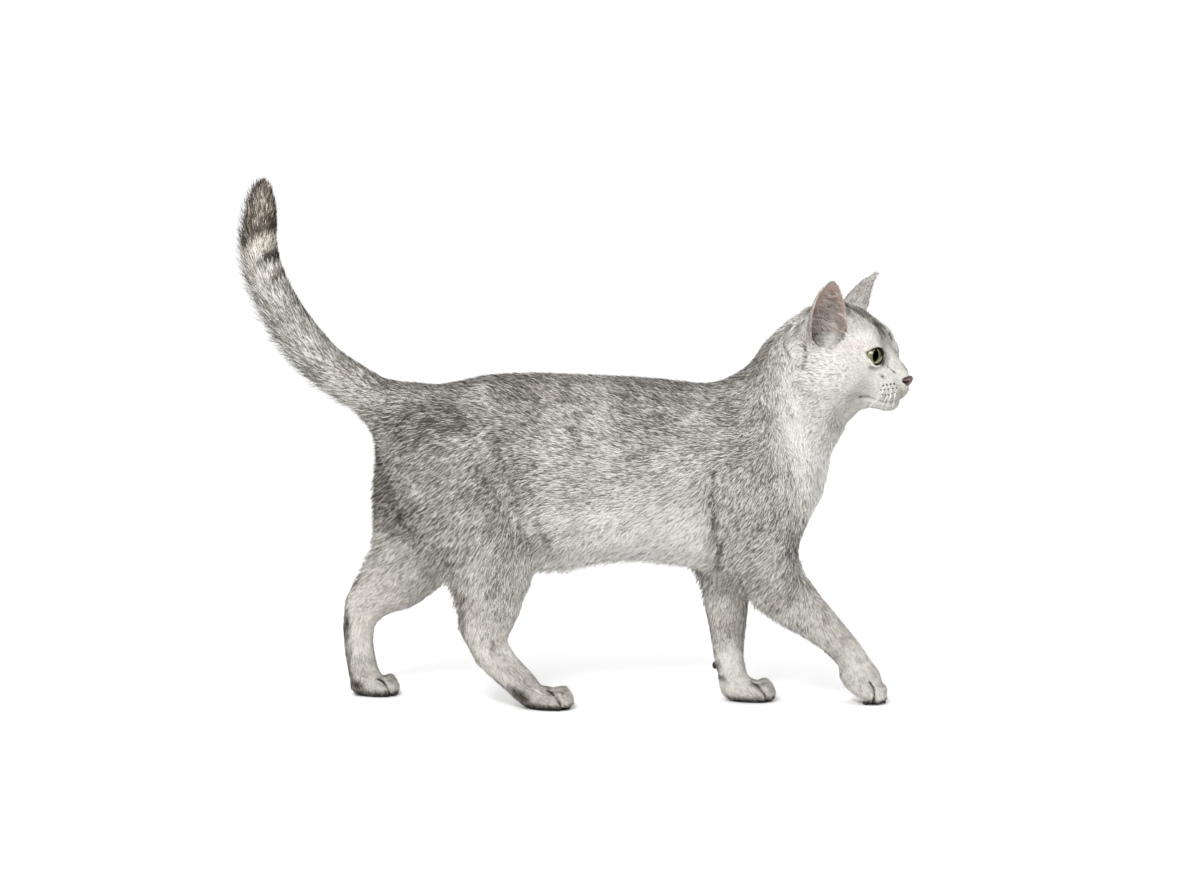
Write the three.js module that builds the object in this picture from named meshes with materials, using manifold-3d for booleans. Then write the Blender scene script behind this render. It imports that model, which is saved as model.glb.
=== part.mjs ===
// A life-size museum model of a young silver shorthair cat, walking with its tail raised.
// Millimetres, +X towards the nose, +Y the cat's left, +Z up. The floor is Z 0.
// The body is one field, negative inside, in which the parts run softly together. Rays from a spine
// find where it is zero, which gives one closed mesh for each part. Planes and the legs' own
// outlines, with a thin gap, part each from its neighbours.
import * as THREE from "three";
import Module from "manifold-3d";

const wasm = await Module();
wasm.setup();

const V = (x, y, z) => new THREE.Vector3(x, y, z);
const { clamp, lerp, degToRad } = THREE.MathUtils;

// Driving dimensions
const GAP = 0.35; // clear space between neighbouring parts
const RIGHT = -1; // sign of Y on the cat's right side
const LEFT = 1;
const EYE_R = 10.3;
const HEAD_AT = V(202.5, -3, 290); // middle of the braincase
const HEAD_YAW = 24.5; // degrees that the head turns to its right
const HEAD_PITCH = 12; // degrees that the muzzle dips
const CORE_BLEND = 10; // width over which the neck runs into the trunk
const LIMB_BLEND = 16; // and a limb into the trunk
const TAIL_BLEND = 14;
const HEAD_BLEND = 10;
const LIMB_MARGIN = 4; // how far outside a limb's outline, seen from the side, its seam lies
const LIMB_POWER = 2.1; // how square a limb's section is: 2 is an ellipse
const TRUNK_POWER = 2.2;

// Fields

// Two fields run together over the width k.
function soft(a, b, k) {
  const h = Math.max(k - Math.abs(a - b), 0) / k;
  return Math.min(a, b) - (h * h * k) / 4;
}

function blended(fields, k) {
  return (p) => fields.map((f) => f(p)).reduce((a, b) => soft(a, b, k));
}

function ellipsoid(centre, radii) {
  const least = Math.min(...radii);
  return (p) =>
    (Math.hypot(
      (p.x - centre[0]) / radii[0],
      (p.y - centre[1]) / radii[1],
      (p.z - centre[2]) / radii[2],
    ) -
      1) *
    least;
}

// Catmull-Rom between rows of numbers, with four steps to each pair.
function refine(rows, steps = 4) {
  const at = (i) => rows[clamp(i, 0, rows.length - 1)];
  const out = [];
  for (let i = 0; i < rows.length - 1; i++)
    for (let s = 0; s < steps; s++) {
      const t = s / steps;
      const [a, b, c, d] = [at(i - 1), at(i), at(i + 1), at(i + 2)];
      out.push(b.map((v, k) => v + catmull(a[k], v, c[k], d[k], t)));
    }
  out.push(rows.at(-1));
  return out;
}

// What Catmull-Rom adds to b on its way to c.
function catmull(a, b, c, d, t) {
  const bend = 2 * a - 5 * b + 4 * c - d + t * (3 * (b - c) + d - a);
  return 0.5 * t * (c - a + t * bend);
}

// A limb or trunk: rows of x, y, z, half depth in the side view, half width across.
// The power squares the section, 2 being an ellipse.
function tube(rows, power = 2) {
  const side = V(0, 1, 0);
  const fine = refine(rows);
  const segments = fine.slice(1).map((b, i) => {
    const a = fine[i];
    const start = V(a[0], a[1], a[2]);
    const along = V(b[0], b[1], b[2]).sub(start);
    const dir = along.clone().normalize();
    const across = side.clone().addScaledVector(dir, -side.dot(dir)).normalize();
    return { start, length: along.length(), dir, across, depth: dir.clone().cross(across), a, b };
  });
  return (p) => {
    let best = Infinity;
    const d = V(0, 0, 0);
    for (const s of segments) {
      d.copy(p).sub(s.start);
      const t = clamp(d.dot(s.dir) / s.length, 0, 1);
      d.addScaledVector(s.dir, -t * s.length);
      const deep = lerp(s.a[3], s.b[3], t);
      const wide = lerp(s.a[4], s.b[4], t);
      const least = Math.min(deep, wide);
      const reach =
        Math.abs(d.dot(s.depth) / deep) ** power +
        Math.abs(d.dot(s.across) / wide) ** power +
        Math.abs(d.dot(s.dir) / least) ** power;
      best = Math.min(best, (reach ** (1 / power) - 1) * least);
    }
    return best;
  };
}

// Meshes

function geometryOf(positions, triangles) {
  return new THREE.BufferGeometry()
    .setAttribute("position", new THREE.BufferAttribute(new Float32Array(positions), 3))
    .setIndex(triangles);
}

// A solid of a closed mesh, turned the right way out.
function solidOf(positions, triangles) {
  const build = (order) =>
    new wasm.Manifold(
      new wasm.Mesh({
        numProp: 3,
        vertProperties: new Float32Array(positions),
        triVerts: new Uint32Array(order),
      }),
    );
  const made = build(triangles);
  return made.volume() < 0 ? build([...triangles].reverse()) : made;
}

// How far along a ray the field turns positive, by short steps and then by halving.
function hit(field, from, dir, reach) {
  const step = 1.2;
  const halvings = 18;
  const p = V(0, 0, 0);
  const value = (s) => field(p.copy(from).addScaledVector(dir, s));
  let s = 0;
  while (s < reach && value(s) < 0) s += step;
  if (s >= reach) return reach;
  let low = Math.max(s - step, 0);
  let high = s;
  for (let i = 0; i < halvings; i++) {
    const mid = (low + high) / 2;
    if (value(mid) < 0) low = mid;
    else high = mid;
  }
  return high;
}

// A closed mesh round a spine. Rings of rays leave it square to its line, and fan out over both ends.
function wrap(field, spine, { rings, sides, caps = 3, reach = 120, grow = 0 }) {
  const side = V(0, 1, 0);
  const curve = new THREE.CatmullRomCurve3(spine, false, "centripetal");
  const rows = [];
  for (let i = 1; i < caps; i++) rows.push([0, -1 + i / caps]);
  for (let i = 0; i < rings; i++) rows.push([i / (rings - 1), 0]);
  for (let i = 1; i < caps; i++) rows.push([1, i / caps]);
  const positions = [];
  const shoot = (t, lean, turn) => {
    const from = curve.getPointAt(t);
    const along = curve.getTangentAt(t);
    const across = side.clone().addScaledVector(along, -side.dot(along)).normalize();
    const up = across.clone().cross(along);
    const tilt = (lean * Math.PI) / 2;
    const dir = up
      .multiplyScalar(Math.cos(turn))
      .addScaledVector(across, Math.sin(turn))
      .multiplyScalar(Math.cos(tilt))
      .addScaledVector(along, Math.sin(tilt));
    from.addScaledVector(dir, hit(field, from, dir, reach) + grow);
    positions.push(from.x, from.y, from.z);
  };
  shoot(0, -1, 0);
  for (const [t, lean] of rows)
    for (let j = 0; j < sides; j++) shoot(t, lean, (2 * Math.PI * j) / sides);
  shoot(1, 1, 0);
  const last = positions.length / 3 - 1;
  const triangles = [];
  const at = (row, j) => 1 + row * sides + (j % sides);
  for (let j = 0; j < sides; j++) {
    triangles.push(0, at(0, j), at(0, j + 1));
    triangles.push(last, at(rows.length - 1, j + 1), at(rows.length - 1, j));
  }
  for (let r = 0; r < rows.length - 1; r++)
    for (let j = 0; j < sides; j++) {
      triangles.push(at(r, j), at(r + 1, j), at(r + 1, j + 1));
      triangles.push(at(r, j), at(r + 1, j + 1), at(r, j + 1));
    }
  return solidOf(positions, triangles);
}

// A ball, or an ellipsoid, with its poles along Z.
function ball(centre, radii, wide, high) {
  const positions = [centre.x, centre.y, centre.z + radii.z];
  for (let i = 1; i < high; i++)
    for (let j = 0; j < wide; j++) {
      const tilt = (Math.PI * i) / high;
      const turn = (2 * Math.PI * j) / wide;
      positions.push(
        centre.x + radii.x * Math.sin(tilt) * Math.cos(turn),
        centre.y + radii.y * Math.sin(tilt) * Math.sin(turn),
        centre.z + radii.z * Math.cos(tilt),
      );
    }
  positions.push(centre.x, centre.y, centre.z - radii.z);
  const last = positions.length / 3 - 1;
  const at = (row, j) => 1 + row * wide + (j % wide);
  const triangles = [];
  for (let j = 0; j < wide; j++) {
    triangles.push(0, at(0, j), at(0, j + 1));
    triangles.push(last, at(high - 2, j + 1), at(high - 2, j));
    for (let i = 0; i < high - 2; i++) {
      triangles.push(at(i, j), at(i + 1, j), at(i + 1, j + 1));
      triangles.push(at(i, j), at(i + 1, j + 1), at(i, j + 1));
    }
  }
  return solidOf(positions, triangles);
}

const largest = (solid) => solid.decompose().reduce((a, b) => (b.volume() > a.volume() ? b : a));

const cutBy = (solid, cutters) =>
  largest(cutters.reduce((left, cutter) => left.subtract(cutter), solid));

// A cut is a plane: a point on it, and the way to the second of the two pieces.
// This keeps the second piece, less half the gap.
function beyond(solid, [point, normal]) {
  const n = normal.clone().normalize();
  return solid.trimByPlane([n.x, n.y, n.z], n.dot(point) + GAP / 2);
}

const before = (solid, [point, normal]) => beyond(solid, [point, normal.clone().negate()]);

// Parts a limb at its cuts, from its root outwards.
function parted(solid, cuts) {
  const pieces = [];
  let rest = solid;
  for (const cut of cuts) {
    pieces.push(largest(before(rest, cut)));
    rest = beyond(rest, cut);
  }
  return [...pieces, largest(rest)];
}

const spineOf = (rows) => rows.map(([x, y, z]) => V(x, y, z));

// Trunk, neck and tail

// x, top, bottom, half width
const TRUNK = [
  [-159, 262, 210, 29],
  [-148, 267, 187, 36],
  [-122, 272, 152, 42],
  [-88, 280, 125, 46],
  [-48, 279, 108.5, 49],
  [0, 277, 117, 53],
  [45, 274, 118, 54],
  [84, 270, 113, 51],
  [116, 270, 118, 46],
  [142, 260, 137, 40],
  [158, 242, 156, 33],
].map(([x, top, bottom, half]) => [x, 0, (top + bottom) / 2, (top - bottom) / 2, half]);

const NECK = [
  [126, 0, 212, 51, 42],
  [144, -1, 234.5, 53, 40],
  [162, -2, 256, 49.5, 37],
  [176.5, -3, 279.5, 48.5, 36],
  [187, -3, 295, 41, 35],
];

// x, z, radius
const TAIL = [
  [-150, 246, 20],
  [-172, 250, 21],
  [-188, 257, 20],
  [-201.5, 266, 19],
  [-226, 282.5, 18.8],
  [-248.5, 307.5, 18.6],
  [-265.7, 335, 17.8],
  [-277.3, 362, 17.2],
  [-280.7, 386, 16],
  [-279.3, 404, 14.8],
  [-278, 418, 12.4],
  [-277.5, 427, 9],
].map(([x, z, r]) => [x, 0, z, r, r]);

const neckField = tube(NECK);
const coreField = blended([tube(TRUNK, TRUNK_POWER), neckField], CORE_BLEND);

// Legs: x, y outwards from the middle plane, z, half depth, half width.
// The first rows are the muscles that lie on the trunk.

const UPPER_ROWS = 4;

const LEGS = {
  fore_right: [
    [121, 28, 226, 35, 14],
    [132, 32, 186, 37, 17],
    [134, 33, 150, 33.5, 17],
    [136, 32, 124, 30.5, 17],
    [149.5, 29, 100, 26, 16],
    [170, 24, 80, 21, 15],
    [191, 18, 60.5, 16, 13],
    [206.5, 12, 43.5, 14.2, 12],
    [220.5, 7.5, 22.5, 14, 12.5],
  ],
  fore_left: [
    [120, 28, 226, 36, 14],
    [128, 32, 186, 38, 17],
    [122, 33, 150, 33, 17],
    [112, 32, 120, 28.5, 16.5],
    [106.5, 27, 95, 22, 14.5],
    [107, 21, 71, 19, 13.5],
    [107.5, 15, 52, 15.8, 12.3],
    [108, 10, 34, 13.4, 12],
    [111, 7, 19, 12.5, 12.5],
  ],
  hind_right: [
    [-134, 26, 232, 34, 16],
    [-128, 32, 200, 45, 19],
    [-114, 34, 168, 46, 20],
    [-99, 34, 137, 41, 19.5],
    [-90, 33, 105, 33, 17],
    [-92.5, 32, 82, 28, 14.5],
    [-95.5, 31, 64, 22, 12],
    [-92.5, 30, 49, 17, 11],
    [-80.5, 30, 36, 15, 11.5],
    [-66, 30, 21.5, 14, 12.5],
  ],
  hind_left: [
    [-138, 26, 230, 36, 16],
    [-142, 32, 198, 47, 19],
    [-146, 34, 168, 47, 20],
    [-150, 34, 137, 42, 19],
    [-162, 33, 109, 37, 16.5],
    [-181.5, 32, 92.5, 27.2, 14],
    [-199.5, 31, 77.5, 18.2, 12],
    [-203.5, 31, 61, 15, 11],
    [-203.5, 31, 42, 14, 11],
    [-200.5, 31, 24, 13.5, 12],
  ],
};

// Paws: where the toes' knuckles stand, the way they point, how far the toes dip, and their size.
const PAWS = {
  fore_right: { x: 215.5, y: 5, lift: 5.4, heading: -6, dip: 32, size: 1.05 },
  fore_left: { x: 126, y: 5, lift: -1.5, heading: 2, dip: 0, size: 1.03 },
  hind_right: { x: -43.5, y: 30, lift: -1.7, heading: -4, dip: 0, size: 1.05 },
  hind_left: { x: -189, y: 31, lift: -1.5, heading: 3, dip: 0, size: 0.97 },
};

// Elbow and wrist, or stifle, hock and ankle.
const LEG_CUTS = {
  fore_right: [
    [V(133, 0, 114), V(0.3, 0, -1)],
    [V(210, 0, 36), V(0.5, 0, -1)],
  ],
  fore_left: [
    [V(109, 0, 108), V(-0.05, 0, -1)],
    [V(109, 0, 28), V(0.1, 0, -1)],
  ],
  hind_right: [
    [V(-94, 0, 120), V(0.05, 0, -1)],
    [V(-96, 0, 58), V(0.25, 0, -1)],
    [V(-66, 0, 25), V(0.9, 0, -1)],
  ],
  hind_left: [
    [V(-163, 0, 122), V(-0.4, 0, -1)],
    [V(-202, 0, 76), V(-0.1, 0, -1)],
    [V(-202, 0, 24), V(0.1, 0, -1)],
  ],
};

const OUTER_LIMIT = 72; // how far from the middle plane a leg's cutter runs
const LEG_SIDES = 12;
const LEG_REACH = 74; // longest ray from a leg's line to its surface
const PAW_CORE = 9; // height of a paw's spine over its sole, and its reach in front of the knuckles
const FAR = 1000;

const LEG_PIECES = {
  fore: ["upper_arm", "forearm", "paw"],
  hind: ["thigh", "shank", "metatarsus", "paw"],
};

const sideOf = (name) => (name.endsWith("right") ? RIGHT : LEFT);

// In a paw's own frame, from the knuckles, for a paw of size 1.
const HEEL_AT = [-9, 0, 10.5];
const HEEL_R = [15, 12.5, 10];
const TOE_AT = [10.5, 0, 9.2];
const TOE_R = [12, 5.1, 9.4];
const TOE_PITCH = 7.3;
const TOE_STAGGER = 2.6; // how far the outer toes stand behind the middle ones
const TOE_PLACES = [-1.5, -0.5, 0.5, 1.5]; // pitches from the paw's middle line
const TOE_BLEND = 1.5;
const HEEL_BLEND = 7; // width over which the toes run into the heel
const FOOT_BLEND = 6; // and the heel into the leg

// A heel block and four toes. They are level, and flat underneath once the floor cuts them.
function pawField({ x, y, lift, heading, dip, size }, sign) {
  const turn = new THREE.Euler(0, degToRad(dip), degToRad(heading), "ZYX");
  const back = new THREE.Matrix4()
    .makeRotationFromEuler(turn)
    .setPosition(x, sign * y, lift)
    .invert();
  const heel = ellipsoid(HEEL_AT, HEEL_R);
  const toes = TOE_PLACES.map((i) =>
    ellipsoid([TOE_AT[0] - TOE_STAGGER * i * i, TOE_PITCH * i, TOE_AT[2]], TOE_R),
  );
  const toe = blended(toes, TOE_BLEND);
  const q = V(0, 0, 0);
  return (p) => {
    q.copy(p).applyMatrix4(back).divideScalar(size);
    return soft(heel(q), toe(q), HEEL_BLEND) * size;
  };
}

// How far inside a limb may reach: short of the middle plane in the trunk, across it at the feet.
const innerLimit = (z) => clamp((z - 95) * 0.3, -30, 10);

// A leg: its field run together with the trunk's, clipped by its own outline from the side, which is
// carried straight through and grown by the margin. A gap wider, that is the trunk's and neck's cutter.
function legOf(name, rows) {
  const sign = sideOf(name);
  const paw = PAWS[name];
  const cuts = LEG_CUTS[name];
  const limb = tube(rows, LIMB_POWER);
  const toes = pawField(paw, sign);
  const foot = (p) => Math.max(soft(limb(p), toes(p), FOOT_BLEND), -p.z);
  const side = tube(rows.map(([x, y, z, deep]) => [x, y, z, deep, FAR]), LIMB_POWER);
  const margin = (p) =>
    Math.max(side(p) - LIMB_MARGIN, innerLimit(p.z) - sign * p.y, sign * p.y - OUTER_LIMIT);
  const joined = (p) =>
    Math.max(soft(foot(p), coreField(p), LIMB_BLEND), margin(p) - LIMB_MARGIN);
  const spine = spineOf(rows);
  const outline = { rings: rows.length - 1, sides: LEG_SIDES, reach: LEG_REACH };
  const whole = wrap(joined, spine, { ...outline, rings: 2 * rows.length - 6 });
  const [endX] = rows.at(-1);
  const heel = V(lerp(endX, paw.x, 0.4), sign * paw.y, paw.lift + PAW_CORE + 2);
  const toe = V(
    paw.x + PAW_CORE * paw.size,
    sign * paw.y,
    paw.lift + PAW_CORE * paw.size - paw.dip / 8,
  );
  const pawWhole = wrap(foot, [heel, toe], { rings: 4, sides: 18, caps: 4, reach: 30 });
  const pieces = parted(whole.intersect(wrap(margin, spine, outline)), cuts);
  pieces[pieces.length - 1] = largest(beyond(pawWhole, cuts.at(-1)));
  return { pieces, seat: wrap(margin, spine, { ...outline, grow: GAP }) };
}

const legRows = Object.fromEntries(
  Object.entries(LEGS).map(([name, rows]) => [
    name,
    rows.map(([x, y, ...rest]) => [x, sideOf(name) * y, ...rest]),
  ]),
);
const legs = Object.fromEntries(
  Object.entries(legRows).map(([name, rows]) => [name, legOf(name, rows)]),
);
const seats = Object.values(legs).map((leg) => leg.seat);

// Head, in its own frame: +X along the muzzle, +Y to its left, +Z up, from the middle of the braincase

const headTurn = new THREE.Matrix4()
  .makeRotationFromEuler(new THREE.Euler(0, degToRad(HEAD_PITCH), degToRad(-HEAD_YAW), "ZYX"))
  .setPosition(HEAD_AT);
const headBack = headTurn.clone().invert();

const SKULL_BLEND = 8;
const MUZZLE_BLEND = 3;
const FACE_BLEND = 5; // width over which the muzzle runs into the skull

const pair = (centre, radii) => [
  ellipsoid(centre, radii),
  ellipsoid([centre[0], -centre[1], centre[2]], radii),
];

const skull = blended(
  [
    ellipsoid([-7, 0, 9.5], [41, 38, 35.5]), // braincase
    ...pair([4, 21, -9], [30, 22.5, 25]), // cheeks
    ...pair([21.5, 15, 19], [14, 12.5, 14]), // brows
    ellipsoid([34, 0, -9], [21, 19, 18]), // muzzle's root
    tube([
      [22, 0, 15.5, 12.2, 12],
      [38.6, 0, 4.2, 10, 9],
      [46.5, 0, -0.4, 9.1, 8],
      [52.8, 0, -5, 7.8, 7.2],
    ]), // bridge of the nose
    tube([
      [41, 0, -25, 9.5, 10.5],
      [20, 0, -25, 12.5, 16],
      [0, 0, -25, 15, 22],
    ]), // lower jaw
  ],
  SKULL_BLEND,
);
const muzzle = blended(
  [
    ...pair([46.8, 8.2, -15], [11.2, 10.2, 9.3]), // whisker pads
    ellipsoid([42.3, 0, -28], [9, 9.3, 7]), // chin
  ],
  MUZZLE_BLEND,
);
const headField = (p) => soft(skull(p), muzzle(p), FACE_BLEND);
const headSpine = [V(-20, 0, 4), V(12, 0, 0), V(45, 0, -12)];
const headMesh = { rings: 14, sides: 22, caps: 5, reach: 66 };

const EYE = V(28.5, 16.5, 10.5);
const NOSE_AT = V(57, 0, -5);
const NOSE_R = V(4.4, 6.2, 4.6);

const eyeBall = (sign, grow) =>
  ball(V(EYE.x, sign * EYE.y, EYE.z), V(1, 1, 1).multiplyScalar(EYE_R + grow), 12, 8);
const noseBall = (grow) => ball(NOSE_AT, NOSE_R.clone().addScalar(grow), 10, 7);

// An ear: a curved sheet, wide and deeply cupped at its root, flatter and pointed at its tip.
// s runs from root to tip, a from the inner edge round the back to the outer edge.
const EAR_ROOT = V(-9, 27, 18.5);
const EAR_TIP = V(-9, 51.5, 69);
const EAR_OPEN = V(0.75, 0.66, 0);
const EAR_RADIUS = 19.5;
const EAR_WALL = 3;
const EAR_CURL = [112, 66]; // degrees each way that the sheet wraps, at root and tip
const EAR_TAPER = 0.5; // how blunt the tip is: 1 is a straight-sided point
const EAR_FLARE = 0.2; // how far the sides bulge out on the way up
const EAR_TIP_BEND = 7;
const EAR_END = 0.96; // share of the height at which the sheet is closed
const EAR_THINNING = 0.55; // how much of the wall's thickness is lost at the tip
const EAR_LEAST = 0.4;
const CONCHA_AT = [0.14, 3]; // share of the height, and mm towards the opening
const CONCHA_R = V(14, 14.5, 18);

const axis = EAR_TIP.clone().sub(EAR_ROOT);
const up = axis.clone().normalize();
const open = EAR_OPEN.clone().addScaledVector(up, -EAR_OPEN.dot(up)).normalize();
const across = up.clone().cross(open);

// The hollow at the ear's root, which carries the ear's cup on into the head.
function concha(sign) {
  const place = new THREE.Matrix4()
    .makeBasis(open, across, up)
    .setPosition(
      EAR_ROOT.clone().addScaledVector(axis, CONCHA_AT[0]).addScaledVector(open, CONCHA_AT[1]),
    );
  const hollow = ball(V(0, 0, 0), CONCHA_R, 12, 8).transform(place.elements);
  return sign === LEFT ? hollow : hollow.mirror([0, 1, 0]);
}

function earSheet(sign, steps = 6, turns = 8) {
  const positions = [];
  const push = (s, a, inset) => {
    const spread = degToRad(lerp(...EAR_CURL, s));
    const taper = (1 - s) ** EAR_TAPER * (1 + EAR_FLARE * s);
    const wall = inset * (1 - EAR_THINNING * s);
    const radius = Math.max(EAR_RADIUS * taper - wall, EAR_LEAST - 0.1 * inset);
    const p = EAR_ROOT.clone()
      .addScaledVector(axis, s)
      .addScaledVector(open, EAR_TIP_BEND * s * s - radius * Math.cos(a * spread))
      .addScaledVector(across, radius * Math.sin(a * spread));
    positions.push(p.x, sign * p.y, p.z);
  };
  for (const inset of [0, EAR_WALL])
    for (let i = 0; i <= steps; i++)
      for (let j = 0; j <= turns; j++) push((i / steps) * EAR_END, (2 * j) / turns - 1, inset);
  const row = turns + 1;
  const at = (side, i, j) => side * (steps + 1) * row + i * row + j;
  const triangles = [];
  const quad = (a, b, c, d) => triangles.push(a, b, c, a, c, d);
  for (let i = 0; i < steps; i++) {
    for (let j = 0; j < turns; j++) {
      quad(at(0, i, j), at(0, i, j + 1), at(0, i + 1, j + 1), at(0, i + 1, j));
      quad(at(1, i, j), at(1, i + 1, j), at(1, i + 1, j + 1), at(1, i, j + 1));
    }
    quad(at(0, i, 0), at(0, i + 1, 0), at(1, i + 1, 0), at(1, i, 0));
    quad(at(0, i, turns), at(1, i, turns), at(1, i + 1, turns), at(0, i + 1, turns));
  }
  for (let j = 0; j < turns; j++) {
    quad(at(0, 0, j), at(1, 0, j), at(1, 0, j + 1), at(0, 0, j + 1));
    quad(at(0, steps, j), at(0, steps, j + 1), at(1, steps, j + 1), at(1, steps, j));
  }
  return solidOf(positions, triangles);
}

// The body's parts, each with what runs into it

const upperLegs = Object.values(legRows).map((rows) => tube(rows.slice(0, UPPER_ROWS), LIMB_POWER));
const torsoField = blended([coreField, ...upperLegs], LIMB_BLEND);
const tailField = tube(TAIL);
const inHead = V(0, 0, 0);
const placedHead = (p) => headField(inHead.copy(p).applyMatrix4(headBack));
const placedNeck = (p) => neckField(p.clone().applyMatrix4(headTurn));
const torsoAndTail = (p) => soft(torsoField(p), tailField(p), TAIL_BLEND);
const torsoAndHead = (p) => soft(torsoField(p), placedHead(p), HEAD_BLEND);
const headAndNeck = (p) => soft(headField(p), placedNeck(p), HEAD_BLEND);

const trunkWhole = wrap(torsoAndTail, spineOf(TRUNK), { rings: 18, sides: 22, caps: 4 });
const neckWhole = wrap(torsoAndHead, spineOf(NECK), { rings: 6, sides: 20, reach: 90 });
const tailWhole = wrap(torsoAndTail, spineOf(TAIL), { rings: 19, sides: 12, reach: 34 });
const headWhole = wrap(headAndNeck, headSpine, headMesh);
const headGrown = wrap(headAndNeck, headSpine, { ...headMesh, grow: GAP });

const NECK_CUT = [V(148, 0, 232), V(0.77, 0, 0.64)];
const HEAD_CUT = [V(-22, 0, 8), V(0.87, 0, 0.49)]; // in the head's frame
const TAIL_CUTS = [
  [V(-178, 0, 250), V(-0.93, 0, 0.37)],
  [V(-228, 0, 283), V(-0.68, 0, 0.73)],
  [V(-272, 0, 350), V(-0.4, 0, 0.91)],
];
const TAIL_PIECES = ["tail_root", "tail_middle", "tail_tip"];

const headHollows = [noseBall(GAP), ...[RIGHT, LEFT].flatMap((s) => [eyeBall(s, GAP), concha(s)])];
const headPieces = {
  head: cutBy(beyond(headWhole, HEAD_CUT), headHollows),
  nose: noseBall(0),
  eye_right: eyeBall(RIGHT, 0),
  eye_left: eyeBall(LEFT, 0),
  ear_right: cutBy(earSheet(RIGHT), [headGrown]),
  ear_left: cutBy(earSheet(LEFT), [headGrown]),
};
const headCut = [
  HEAD_CUT[0].clone().applyMatrix4(headTurn),
  HEAD_CUT[1].clone().transformDirection(headTurn),
];

const solids = {
  trunk: cutBy(before(before(trunkWhole, NECK_CUT), TAIL_CUTS[0]), seats),
  neck: cutBy(before(beyond(neckWhole, NECK_CUT), headCut), seats),
};
for (const [name, solid] of Object.entries(headPieces))
  solids[name] = solid.transform(headTurn.elements);
const tailPieces = parted(tailWhole, TAIL_CUTS).slice(1);
tailPieces.forEach((piece, i) => {
  solids[TAIL_PIECES[i]] = piece;
});
for (const [name, leg] of Object.entries(legs)) {
  const [end, side] = name.split("_");
  leg.pieces.forEach((piece, i) => {
    solids[`${end}_${LEG_PIECES[end][i]}_${side}`] = piece;
  });
}

// Materials and the scene graph

const finish = (color, roughness = 0.9) => new THREE.MeshStandardMaterial({ color, roughness });
const MATERIALS = {
  eye: finish(0xa9b68c, 0.1),
  nose: finish(0x8c6a63, 0.5),
  ear: finish(0xb9aca6),
  paw: finish(0xcfc9c0),
  tail_tip: finish(0x8a817a),
};
const COAT = finish(0xb4b2ac);

function materialOf(name) {
  const key = Object.keys(MATERIALS).find((k) => name.startsWith(k) || name.includes(`_${k}_`));
  return (MATERIALS[key] ?? COAT).clone();
}

function meshOf(name, solid) {
  const made = solid.getMesh();
  const positions = [];
  for (let i = 0; i < made.numVert; i++)
    positions.push(...made.vertProperties.subarray(i * made.numProp, i * made.numProp + 3));
  const geometry = geometryOf(positions, [...made.triVerts]);
  geometry.computeVertexNormals();
  const mesh = new THREE.Mesh(geometry, materialOf(name));
  mesh.name = name;
  return mesh;
}

const cat = new THREE.Group();
const bounds = new THREE.Box3();
for (const [name, solid] of Object.entries(solids)) {
  const mesh = meshOf(name, solid);
  mesh.geometry.computeBoundingBox();
  bounds.union(mesh.geometry.boundingBox);
  cat.add(mesh);
}

// The origin is on the floor, under the middle of the box that holds the cat.
const middle = bounds.getCenter(V(0, 0, 0));
cat.position.set(-middle.x, -middle.y, -bounds.min.z);

export default cat;
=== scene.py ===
import math

import bmesh
import bpy
import numpy as np
from mathutils import Matrix, Vector
from mathutils.bvhtree import BVHTree


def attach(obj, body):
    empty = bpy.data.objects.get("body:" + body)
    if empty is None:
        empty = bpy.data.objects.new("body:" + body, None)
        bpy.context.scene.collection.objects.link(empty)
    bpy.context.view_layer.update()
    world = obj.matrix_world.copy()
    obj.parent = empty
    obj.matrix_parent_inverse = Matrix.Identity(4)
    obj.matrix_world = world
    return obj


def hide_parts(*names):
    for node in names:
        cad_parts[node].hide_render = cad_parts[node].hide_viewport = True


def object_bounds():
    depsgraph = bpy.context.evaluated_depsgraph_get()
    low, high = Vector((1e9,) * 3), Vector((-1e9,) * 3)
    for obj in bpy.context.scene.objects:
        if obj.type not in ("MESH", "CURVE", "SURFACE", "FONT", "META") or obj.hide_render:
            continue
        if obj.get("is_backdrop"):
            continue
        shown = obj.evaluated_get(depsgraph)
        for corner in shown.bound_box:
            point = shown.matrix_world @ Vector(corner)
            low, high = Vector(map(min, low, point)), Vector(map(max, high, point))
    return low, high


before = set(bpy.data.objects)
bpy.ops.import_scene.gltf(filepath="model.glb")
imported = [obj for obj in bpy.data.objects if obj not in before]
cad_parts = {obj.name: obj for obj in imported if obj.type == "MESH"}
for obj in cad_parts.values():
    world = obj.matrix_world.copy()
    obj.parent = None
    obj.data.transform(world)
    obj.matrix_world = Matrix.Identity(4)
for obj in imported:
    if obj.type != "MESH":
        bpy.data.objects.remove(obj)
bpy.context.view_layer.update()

# ---------------------------------------------------------------------------------------------
# The skin: one closed hide over all the flesh, from the lips to the tail's tip.
# It is the joined flesh of the solids, made one surface and drawn in by the depth of the coat,
# so that the tips of the hairs reach the solids' own surface.
# ---------------------------------------------------------------------------------------------
MM = 0.001
rng = np.random.default_rng(7)

LEG_PARTS = {
    "fore": ["upper_arm", "forearm", "paw"],
    "hind": ["thigh", "shank", "metatarsus", "paw"],
}
FLESH = ["trunk", "neck", "head", "ear_right", "ear_left", "tail_root", "tail_middle", "tail_tip"]
for leg, parts in LEG_PARTS.items():
    FLESH += [f"{leg}_{part}_{side}" for part in parts for side in ("right", "left")]
SKIN_GRAIN = 1.3 * MM  # side of the grid the hide is made on
SMOOTHINGS = 6

HEAD_AT = np.array([222.325, -2.965, 290.0])  # middle of the skull, mm


def turned_by(heading, dip):
    """The turn of a frame that heads so many degrees to the left and dips so many at its front."""
    heading, dip = math.radians(heading), math.radians(dip)
    return np.array(Matrix.Rotation(heading, 3, "Z") @ Matrix.Rotation(dip, 3, "Y"))


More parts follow.
